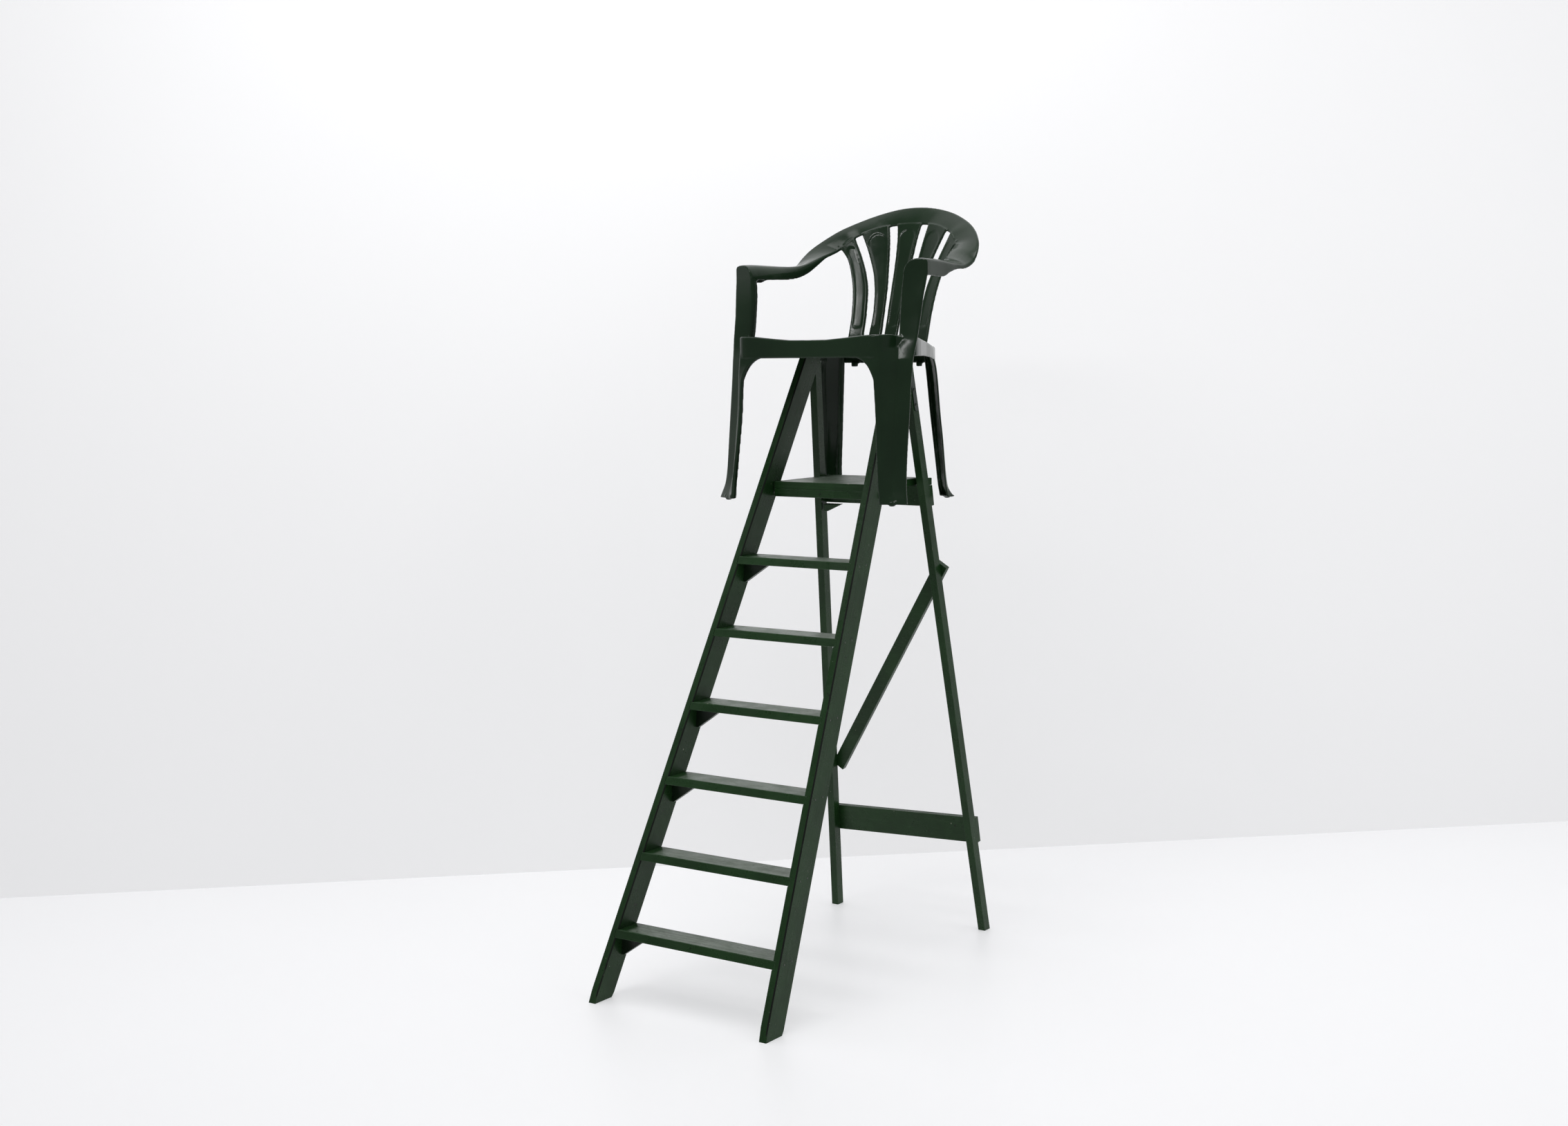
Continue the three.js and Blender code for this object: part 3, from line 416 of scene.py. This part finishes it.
def offset(pts, t):
    pts = np.asarray(pts, float)
    n = len(pts)
    tan = np.zeros_like(pts)
    for i in range(n):
        j, k = i, i
        while j > 0 and np.linalg.norm(pts[j] - pts[i]) < 1e-6:
            j -= 1
        while k < n - 1 and np.linalg.norm(pts[k] - pts[i]) < 1e-6:
            k += 1
        a = pts[i] - pts[j] if np.linalg.norm(pts[i] - pts[j]) > 1e-6 else None
        b = pts[k] - pts[i] if np.linalg.norm(pts[k] - pts[i]) > 1e-6 else None
        ua = a / np.linalg.norm(a) if a is not None else None
        ub = b / np.linalg.norm(b) if b is not None else None
        v = (ua if ua is not None else 0) + (ub if ub is not None else 0)
        v = np.asarray(v, float)
        v = v / (np.linalg.norm(v) + 1e-12)
        tan[i] = v
        cosh = 1.0
        if ua is not None and ub is not None:
            cosh = max(0.62, float(v @ ua))
        tan[i] /= cosh
    nrm = np.stack([-tan[:, 1], tan[:, 0]], 1)
    return pts + nrm * t


def wall(pts, t):
    return np.vstack([np.asarray(pts, float), offset(pts, t)[::-1]])


class Shells:
    """Collects closed skins that are later fused into one."""

    def __init__(self):
        self.v, self.f = [], []

    def loft(self, loops, caps="wall"):
        loops = [np.asarray(l, float) for l in loops]
        n, base = len(loops[0]), len(self.v)
        for l in loops:
            self.v.extend(l.tolist())
        m = len(loops)
        for i in range(m - 1):
            for j in range(n):
                a, b = base + i * n + j, base + i * n + (j + 1) % n
                self.f.append((a, b, b + n, a + n))
        for k, flip in ((0, True), (m - 1, False)):
            r = base + k * n
            if caps == "wall":
                fs = [(r + j, r + j + 1, r + n - 2 - j, r + n - 1 - j) for j in range(n // 2 - 1)]
            else:
                c = len(self.v)
                self.v.append(loops[k].mean(0).tolist())
                fs = [(r + j, r + (j + 1) % n, c) for j in range(n)]
            self.f.extend(tuple(reversed(q)) if flip else q for q in fs)

    def both(self, loops, caps="wall"):
        self.loft(loops, caps)
        self.loft([np.asarray(l) * [-1, 1, 1] for l in loops], caps)

    def block(self, poly, z0, z1):
        for s in (1, -1):
            self.loft([[(x * s, y, z) for x, y in poly] for z in (z0, z1)], "fan")


RIM = [
    [0, 0, 1178, 2046, 0, 1209, 2097.5, 6, 10, 2, 3], [1, 35, 1177, 2045.5, 50, 1208, 2094.5, 6, 10, 2, 3],
    [2, 69, 1172, 2043, 98, 1203, 2086, 6, 10, 2, 3], [3, 108, 1160, 2036, 144, 1190, 2073, 6, 10, 2, 3],
    [4, 148, 1143, 2021, 188, 1168, 2055.5, 6, 10, 2, 3], [5, 168, 1130, 2010, 221, 1147, 2039, 6, 10, 3, 3],
    [6, 184, 1117, 1995.5, 248, 1125, 2020, 7, 10, 3, 3], [7, 196, 1101, 1980, 271, 1100, 1999, 8, 9, 3, 4],
    [8, 204, 1079, 1971, 288, 1079, 1980, 8, 9, 3, 4], [9, 211, 1054, 1963, 299, 1055, 1957, 10, 9, 4, 6],
    [10, 219, 1024, 1952, 303.5, 1024, 1931, 19, 9, 5, 8], [11, 227, 990, 1938, 303, 985, 1918, 26, 10, 6, 11],
    [12, 233, 950, 1928, 303, 945, 1919, 30, 13, 7, 15], [13, 238, 905, 1924, 305.5, 902, 1922, 32, 24, 8, 19],
    [14, 241, 860, 1923, 308, 860, 1926, 32, 41, 8, 22], [15, 244, 818, 1923, 311.5, 820, 1928.5, 33, 43, 8, 25],
    [16, 247, 785, 1923, 314.5, 790, 1930, 33, 43, 8, 27], [17, 249.5, 760, 1922, 316.5, 771, 1930, 32, 42, 8, 28],
    [18, 251.5, 740.6, 1920, 317.5, 756.8, 1928.5, 30, 41, 8, 28],
]
RIM = np.asarray(RIM, float)


def rim_at(t):
    s, t = (1 if t >= 0 else -1), abs(t)
    i = min(len(RIM) - 2, int(t))
    f = t - i

    def row(k):
        if k < 0:
            m = RIM[-k].copy()
            m[[1, 4]] *= -1
            return m
        return RIM[min(len(RIM) - 1, k)]
    p0, p1, p2, p3 = row(i - 1), row(i), row(i + 1), row(i + 2)
    v = 0.5 * (2 * p1 + (p2 - p0) * f + (2 * p0 - 5 * p1 + 4 * p2 - p3) * f * f + (3 * p1 - p0 - 3 * p2 + p3) * f**3)
    v[[1, 4]] *= s
    return v


def rim_section(t):
    r = rim_at(t)
    B, C = r[1:4], r[4:7]
    e = 0.25
    q0, q1 = rim_at(max(-18, t - e)), rim_at(min(18, t + e))
    T = (q1[1:4] + q1[4:7] - q0[1:4] - q0[4:7]) / 2
    T /= np.linalg.norm(T)
    ex = C - B
    w = np.linalg.norm(ex)
    ex /= w
    ez = np.cross(T, ex)
    ez /= np.linalg.norm(ez)
    k = min(1, max(0, (abs(t) - 7) / 2))
    k = k * k * (3 - 2 * k)
    upv = ez * (1 - k) + np.array([0, 0, 1.0]) * k
    upv /= np.linalg.norm(upv)
    lA, lD, h, s = r[7], r[8], r[9], min(r[10], r[7] * 0.85)
    rc = min(7, lD * 0.45)
    pts = [(0, -lA)] + [(0, y) for y in (-lA * 0.6 - s * 0.4,)]
    for q in np.linspace(0, 90, 9):
        g = math.radians(q)
        pts.append((s * (1 - math.cos(g)), -s * (1 - math.sin(g))))
    for f in (0.2, 0.4, 0.6, 0.8):
        pts.append((s + (w - rc - s) * f, 0))
    for q in np.linspace(0, 90, 6):
        g = math.radians(q)
        pts.append((w - rc + rc * math.sin(g), -rc * (1 - math.cos(g))))
    pts += [(w, -rc - (lD - rc) * 0.5), (w, -lD)]
    pts = np.array(pts)
    f = pts[:, 0] / w
    pts[:, 1] += h * 4 * f * (1 - f)
    lp = wall(pts, -SHELL)
    return B + lp[:, :1] * ex + lp[:, 1:] * upv, len(pts)


POST = [
    [1284, 312, 650, 264, 627, 247, 618, 241, 624, 12], [1296, 309, 654, 266, 634, 246, 618.5, 240, 624, 13],
    [1326, 302, 663, 268, 650, 244, 619, 238, 624, 14], [1357, 299.5, 667.7, 265.5, 658, 242, 622, 235, 625, 15],
    [1429, 298.3, 676, 264, 667, 238.5, 632, 228.5, 629, 15], [1520, 298.7, 688, 262, 679, 235, 641, 222, 636, 15],
    [1594, 298.5, 697, 260, 689, 233, 644, 217.5, 637, 15], [1612, 298.8, 699.4, 259.6, 691, 232.5, 644.5, 216, 638, 15],
    [1631, 299.2, 702, 259, 693.4, 232, 645.2, 208, 639.5, 15], [1645, 299.6, 704, 258.6, 695, 231.6, 646, 200, 641, 15],
    [1655, 299.8, 705.3, 258.3, 696, 231, 646.6, 191, 642.5, 14], [1666, 300.2, 706.7, 257.6, 697.6, 231, 647.6, 176, 644.5, 12],
    [1674, 300.8, 708.6, 256.4, 700.6, 231, 649, 158, 646, 10], [1690, 302.4, 712.4, 253.6, 706.8, 231.5, 652, 150, 647, 8],
    [1706, 304.2, 716.2, 251, 712.8, 247, 722, 246.8, 726, 20], [1720, 305.7, 719.5, 249, 718, 247.8, 726, 247.6, 734, 14],
    [1746, 307.2, 725.2, 247, 724, 246.4, 732, 246.6, 740, 12], [1793, 309.7, 735.6, 246, 731, 245.8, 739, 246, 747, 12],
    [1829, 312, 741.5, 246, 735, 245.8, 743, 246, 751, 12], [1884, 317, 753.5, 249.8, 740.2, 249.6, 748, 249.8, 756, 12],
    [1902, 317.5, 756.8, 252, 740.4, 252, 748, 252.2, 756, 12],
]
REARLEG = [
    [1273, 224, 1008, 227, 1042, 162, 1064, 176, 1040], [1286, 217, 1011, 217, 1037, 160.5, 1062, 174.5, 1039],
    [1304, 213, 1016, 208.5, 1033, 158.5, 1059, 172.5, 1037], [1355, 210.5, 1014, 204, 1028.6, 155, 1055, 169, 1033],
    [1430, 208.5, 1009, 200.7, 1023.7, 148.7, 1052, 162.7, 1029], [1508, 205, 1002, 195.5, 1018, 142, 1050, 157, 1023],
    [1630, 198.5, 994, 191.5, 1007.7, 133, 1047, 147.6, 1018], [1668, 191, 990, 186.5, 1003, 130, 1043, 144, 1016],
    [1700, 184, 986, 182, 998, 128, 1036, 141, 1012],
]
SEAT = [
    (0, 645.5), (60, 645.5), (120, 645.5), (180, 645.5), (205, 646), (220, 647.5), (230, 652), (236, 661), (240, 678), (245, 698),
    (248, 711), (258, 718), (274, 721), (288, 723.5), (294, 730), (293, 741), (289, 755), (278, 785), (262, 822), (240, 874), (219, 928),
    (200, 974), (186, 1004), (176, 1024), (162, 1038), (140, 1047), (110, 1054), (75, 1060), (38, 1063.5), (0, 1065),
]
S_OUT_IN = [[1688, 90], [1733, 90.3], [1760, 90.7], [1819, 95], [1859, 100], [1899, 111], [1950, 132], [2005, 159], [2028, 170]]
S_OUT_OUT = [[1688, 136], [1726, 135.6], [1760, 135.1], [1820, 138.5], [1860, 144], [1910, 157], [1951, 173], [1976, 191], [1990, 203], [2028, 215]]
S_MID_IN = [[1688, 32], [1734, 32.6], [1778, 34.5], [1857, 39], [1917, 46.3], [1998, 57.4], [2042, 66], [2056, 69]]
S_MID_OUT = [[1688, 72.5], [1731, 72.3], [1779, 70.4], [1838, 75], [1899, 88.2], [1949, 107.7], [2017, 141.2], [2028, 148], [2040, 150]]
S_CENTRE = [[1688, 22], [1736, 22], [1832, 24.5], [1917, 27], [1997, 33], [2043, 41], [2058, 44]]


def back_y(x, z):
    k = np.interp(z, [1734, 1850, 2000], [0.0009, 0.00115, 0.0013])
    return 1067 + 0.352 * (z - 1734) - k * x * x


RIM_IN = np.array([rim_at(t)[[1, 3]] for t in np.linspace(0, 7.5, 60)])


def slat(inner, outer, sh):
    """One back slat: a shallow channel with a recessed, round-topped panel on its face."""
    nf, nz = 25, 110
    fr = np.linspace(0, 1, nf)
    mid = lambda tb, z: float(pchip([r[0] for r in tb], [r[1] for r in tb], z))
    ztop = []
    for f in fr:
        z = 2030.0
        for _ in range(12):
            x1 = mid(outer, z)
            x0 = mid(inner, z) if inner else -x1
            x = x0 + (x1 - x0) * f
            z = float(np.interp(abs(x), RIM_IN[:, 0], RIM_IN[:, 1])) + 3.0
        ztop.append(z)
    loops = []
    for k in range(nz + 1):
        front = []
        for f, zt in zip(fr, ztop):
            z = 1696 + (zt - 1696) * k / nz
            x1 = mid(outer, z)
            x0 = mid(inner, z) if inner else -x1
            x = x0 + (x1 - x0) * f
            w = x1 - x0
            # recessed panel: 7 mm borders, round at the top and the bottom
            half = w / 2 - 7.0
            dxm = abs(x - (x0 + x1) / 2)
            zt_p, zb_p = zt - 16.0, 1752.0
            rad = half
            if z > zt_p - rad:
                q = math.hypot(dxm, z - (zt_p - rad)) - rad
            elif z < zb_p + rad * 0.5:
                q = math.hypot(dxm, (zb_p + rad * 0.5 - z) * 2) - rad
            else:
                q = dxm - half
            s = min(1.0, max(0.0, -q / 3.0))
            dep = 1.5 * s * s * (3 - 2 * s)
            edge = min(f, 1 - f) * w
            rnd = 1.6 * max(0.0, 1 - edge / 2.2) ** 2
            front.append((x, back_y(x, z) + dep + rnd, z))
        lip = float(np.interp(front[0][2], [1688, 1960, 2060], [8, 9, 6]))
        b = [(p[0] + (0.0), p[1] + lip, p[2]) for p in (front[0],)]
        c = [(p[0], p[1] + lip, p[2]) for p in (front[-1],)]
        line = b + front + c
        xy = np.array([(p[0], p[1]) for p in line])
        zz = np.array([p[2] for p in line])
        inn = offset(xy, SHELL)
        loops.append(np.vstack([np.column_stack([xy, zz]), np.column_stack([inn, zz])[::-1]]))
    return loops


def rim_z(x, y):
    sm = lambda t: t * t * (3 - 2 * t)
    front = 1722 + 12 * sm(min(1, max(0, (abs(x) - 40) / 180)))
    side = np.interp(y, [670, 700, 722, 766, 820, 874, 928, 974, 1010, 1040, 1070], [1734, 1734, 1728, 1724, 1718, 1713, 1706, 1699, 1695, 1697, 1700])
    k = sm(min(1, max(0, (y - 650) / 30)))
    return front * (1 - k) + side * k


def skirt_z(y):
    return float(np.interp(y, [640, 690, 744, 830, 920, 1000, 1040, 1070], [1673, 1673, 1674, 1673, 1668, 1658, 1651, 1648]))


def build_chair():
    sh = Shells()
    # rim and arms
    sh.loft([rim_section(t)[0] for t in np.linspace(-18, 18, 433)])
    for s in (1, -1):
        sec, n = rim_section(18 * s)
        sh.loft([sec[:n] + [0, d, 0] for d in (0.2, SHELL + 0.2)], "fan")
    # posts and front legs
    for_z = np.concatenate([np.linspace(1284, 1600, 60), np.linspace(1602, 1760, 80), np.linspace(1762, 1902, 40)])
    loops = []
    for z in for_z:
        ax, ay, bx, by, ex, ey, cx, cy, ret = rows_at(POST, z)
        pts = [(cx + 1, cy + ret), (cx, cy), (ex, ey), (bx, by), (ax, ay), (ax - 2, ay + 9)]
        line = fillet(pts, [0, 3.5, 6, 5, 7, 0], 6)
        loops.append(np.column_stack([wall(line, SHELL), np.full(2 * len(line), z)]))
    sh.both(loops)
    # rear legs
    loops = []
    for z in np.linspace(1273, 1700, 100):
        c = rows_at(REARLEG, z)
        line = fillet([(c[0], c[1]), (c[2], c[3]), (c[4], c[5]), (c[6], c[7])], [0, 9, 5, 0], 7)
        loops.append(np.column_stack([wall(line, SHELL), np.full(2 * len(line), z)]))
    sh.both(loops)
    # seat: one closed skin over the top, in under the skirt and back across
    half = fillet([np.array(p) for p in SEAT], [0] + [3.0] * (len(SEAT) - 2) + [0], 3)
    half = [half[0]] + [p for a, p in zip(half, half[1:]) if np.linalg.norm(p - a) > 0.4]
    plan = np.array([(x, y) for x, y in half] + [(-x, y) for x, y in half[1:-1][::-1]])
    tan = np.roll(plan, -1, 0) - np.roll(plan, 1, 0)
    tan /= np.linalg.norm(tan, axis=1)[:, None]
    inset = lambda d: plan + np.column_stack([-tan[:, 1], tan[:, 0]]) * d
    scale = lambda k: np.column_stack([plan[:, 0] * k, 850 + (plan[:, 1] - 850) * k])
    rz = np.array([rim_z(x, y) for x, y in plan])
    sz = np.array([skirt_z(y) for x, y in plan])
    lift = lambda k: np.where(rz > FLOOR_Z, rz + (FLOOR_Z - rz) * k, rz + (FLOOR_Z - rz) * min(1, k * 2.2))
    ring = lambda pl, z: np.column_stack([pl, np.broadcast_to(z, len(pl))])
    top = [ring(plan, sz), ring(plan, sz + 1)]
    top += [ring(plan, sz + (rz - 8 - sz) * f) for f in (0.33, 0.66, 1.0)]
    for g in np.linspace(15, 90, 6):
        a = math.radians(g)
        top.append(ring(inset(6 * (1 - math.cos(a))), rz - 6 + 6 * math.sin(a)))
    top.append(ring(scale(0.945), rz - 0.4))
    for k, f in ((0.91, 0.12), (0.87, 0.32), (0.83, 0.52), (0.79, 0.70), (0.74, 0.84), (0.68, 0.94), (0.6, 1.0), (0.45, 1.0), (0.3, 1.0), (0.15, 1.0)):
        top.append(ring(scale(k), lift(f)))
    under = [r - [0, 0, SHELL] for r in top[-1:-11:-1]]
    under += [ring(scale(0.945), rz - 0.4 - SHELL), ring(inset(SHELL + 3), rz - 1.5 - SHELL), ring(inset(SHELL), rz - 4 - SHELL), ring(inset(SHELL), sz)]
    n = len(plan)
    base = len(sh.v)
    allr = top + under
    for l in allr:
        sh.v.extend(l.tolist())
    for i in range(len(allr)):
        if i == len(top) - 1:
            continue
        a0 = base + i * n
        b0 = base + ((i + 1) % len(allr)) * n
        for j in range(n):
            sh.f.append((a0 + j, a0 + (j + 1) % n, b0 + (j + 1) % n, b0 + j))
    for r0, z, fl in ((base + (len(top) - 1) * n, FLOOR_Z, False), (base + len(top) * n, FLOOR_Z - SHELL, True)):
        c = len(sh.v)
        sh.v.append([0, 850, z])
        for j in range(n):
            q = (r0 + j, r0 + (j + 1) % n, c)
            sh.f.append(tuple(reversed(q)) if fl else q)
    # slats
    sh.loft(slat(None, S_CENTRE, sh))
    sh.both(slat(S_MID_IN, S_MID_OUT, sh))
    sh.both(slat(S_OUT_IN, S_OUT_OUT, sh))
    # soles, feet and stubs
    circle = lambda x, y, r: [(x + r * math.cos(a), y + r * math.sin(a)) for a in np.linspace(0, 2 * math.pi, 28, endpoint=False)]
    sh.block(circle(272, 640.5, 8), FOOT_Z - NUB_H, FOOT_Z + 6)
    sh.block([(249, 621), (309, 652), (306, 658), (262, 648), (243, 636)], FOOT_Z, FOOT_Z + SHELL)
    z = FOOT_Z - FOOT_DROP
    sh.block(circle(200, 1041, 8), z - NUB_H, z + 6)
    sh.block([(222, 1012), (225, 1040), (164, 1061), (176, 1042)], z, z + SHELL)
    sh.block([(101, 1051.2), (119, 1048), (119, 1038), (101, 1040)], 1640, 1654)
    # two moulding ribs inside each front foot
    for x0, y0, x1, y1 in ((252, 621, 262, 646), (283, 637, 285, 657)):
        sh.block([(x0, y0), (x0 + 2.2, y0), (x1 + 2.2, y1), (x1, y1)], FOOT_Z, FOOT_Z + 10)
    me = bpy.data.meshes.new("armchair")
    v = (np.asarray(sh.v) - [0, ORIGIN_Y, 0]) * MM
    me.from_pydata(v.tolist(), [], [tuple(f) for f in sh.f])
    me.update()
    bm = bmesh.new()
    bm.from_mesh(me)
    bmesh.ops.recalc_face_normals(bm, faces=bm.faces)
    bm.to_mesh(me)
    bm.free()
    o = bpy.data.objects.new("armchair", me)
    scene.collection.objects.link(o)
    r = o.modifiers.new("fuse", "REMESH")
    r.mode = "VOXEL"
    r.voxel_size = 0.0021
    r.adaptivity = 0.0
    s = o.modifiers.new("flow", "SMOOTH")
    s.factor, s.iterations = 0.5, 7
    dg = bpy.context.evaluated_depsgraph_get()
    done = bpy.data.meshes.new_from_object(o.evaluated_get(dg), depsgraph=dg)
    o.modifiers.clear()
    o.data = done
    done.name = "armchair"
    done.materials.clear()
    done.materials.append(M_PLASTIC)
    done.polygons.foreach_set("use_smooth", [True] * len(done.polygons))
    done.update()
    print("armchair faces", len(done.polygons))
    return o


chair = build_chair()
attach(chair, "ladder")
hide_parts("chair_shell")


# -------------------------------------------------------------- nail heads
def nails():
    """Slightly proud painted nail heads: two through each stile into every tread end."""
    bm = bmesh.new()

    def head(p, n, r=2.6, h=0.7):
        n = Vector(n).normalized()
        q = n.to_track_quat("Z", "Y").to_matrix().to_4x4()
        prof = [(r, -0.6), (r, h * 0.35), (r * 0.8, h * 0.8), (r * 0.4, h)]
        rings = []
        for rr, hh in prof:
            rings.append([bm.verts.new((Vector(p) + q.to_3x3() @ Vector((rr * math.cos(a), rr * math.sin(a), hh)) - Vector((0, ORIGIN_Y, 0))) * MM)
                          for a in np.linspace(0, 2 * math.pi, 12, endpoint=False)])
        for a, b in zip(rings, rings[1:]):
            for j in range(12):
                bm.faces.new((a[j], a[(j + 1) % 12], b[(j + 1) % 12], b[j]))
        bm.faces.new(rings[-1])
        bm.faces.new(list(reversed(rings[0])))

    for i in range(6):
        zt = 181.4 + 190 * i
        for s in (-1, 1):
            for dy, dz in ((20, -10.5), (52, -9.5)):
                z = zt + dz
                head((s * (267.6 - 0.0777 * z + 22.2), z * 0.5022 + dy, z), (s, 0, 0.0777))
    me = bpy.data.meshes.new("tread_nails")
    bm.to_mesh(me)
    bm.free()
    me.materials.append(M_SCREW)
    me.polygons.foreach_set("use_smooth", [True] * len(me.polygons))
    o = bpy.data.objects.new("tread_nails", me)
    scene.collection.objects.link(o)
    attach(o, "ladder")


nails()


# ------------------------------------------------------------------- stage
def stage_material(name, colour, rough, glow, fade=0.0):
    """Painted white surface of a bright room; the glow stands in for light bounced round the room."""
    n = Nodes(name)
    c = n.noise(n.mapping(), 1.1, 3.0, 0.5)
    n.put(n.mix(c, colour, tuple(x * 0.97 for x in colour)), n.bsdf.inputs["Base Color"])
    n.bsdf.inputs["Roughness"].default_value = rough
    n.bsdf.inputs["Emission Color"].default_value = (0.985, 0.985, 1.0, 1)
    g = n.math("ADD", n.math("MULTIPLY", c, 0.03), glow - 0.015)
    if fade > 0:
        g = n.math("MULTIPLY", g, n.range(n.xyz()[2], -0.6, 2.6, 1 - fade, 1.0))
    n.put(g, n.bsdf.inputs["Emission Strength"])
    n.put(n.bump(n.noise(n.mapping(), 60.0, 3.0, 0.5), 0.04, 0.001), n.bsdf.inputs["Normal"])
    return n.mat


def plane(name, corners, material):
    me = bpy.data.meshes.new(name)
    me.from_pydata([tuple(c) for c in corners], [], [(0, 1, 2, 3)])
    me.materials.append(material)
    o = bpy.data.objects.new(name, me)
    scene.collection.objects.link(o)
    return o


plane("floor", [(-14, -14, 0), (14, -14, 0), (14, 14, 0), (-14, 14, 0)], stage_material("floor_white", (0.62, 0.62, 0.628), 0.45, 0.355))
wd, wc = Vector((0.7395, 0.6731, 0)), Vector((-0.063, 1.424, 0))
plane("wall", [wc - wd * 14, wc + wd * 14, wc + wd * 14 + Vector((0, 0, 9)), wc - wd * 14 + Vector((0, 0, 9))],
      stage_material("wall_white", (0.55, 0.55, 0.552), 0.6, 0.455, 0.13))


# ------------------------------------------------------------------- light
def area(name, at, look, size, size_y, power, colour=(1, 1, 1), along=None):
    d = bpy.data.lights.new(name, "AREA")
    d.shape = "RECTANGLE"
    d.size, d.size_y, d.energy, d.color = size, size_y, power, colour
    o = bpy.data.objects.new(name, d)
    scene.collection.objects.link(o)
    at = Vector(at)
    if along is None:
        turn = (Vector(look) - at).to_track_quat("-Z", "Y").to_matrix()
    else:
        z = (at - Vector(look)).normalized()
        y = (Vector(along) - z * z.dot(Vector(along))).normalized()
        turn = Matrix((y.cross(z), y, z)).transposed()
    o.matrix_world = Matrix.Translation(at) @ turn.to_4x4()
    return o


area("overhead", (0.2, -0.5, 4.3), (0.0, 0.0, 0.6), 2.0, 2.6, 56)
area("right_side", (3.8, 0.9, 2.9), (0.0, 0.0, 1.1), 3.0, 3.4, 36).visible_glossy = False
# a ceiling tube that the curved slats mirror
area("tube_a", (-0.56, -1.97, 3.30), (-0.08, 0.45, 1.9), 0.05, 1.25, 9.0, along=(-0.62, -0.55, 0))
area("tube_b", (-0.10, -2.45, 3.75), (-0.08, 0.45, 1.9), 0.05, 1.25, 7.5, along=(-0.62, -0.55, 0))

world = bpy.data.worlds.new("studio")
scene.world = world
world.use_nodes = True
bg = world.node_tree.nodes["Background"]
bg.inputs["Color"].default_value = (0.97, 0.98, 1.0, 1)
bg.inputs["Strength"].default_value = 0.34
scene.view_settings.view_transform = "Standard"
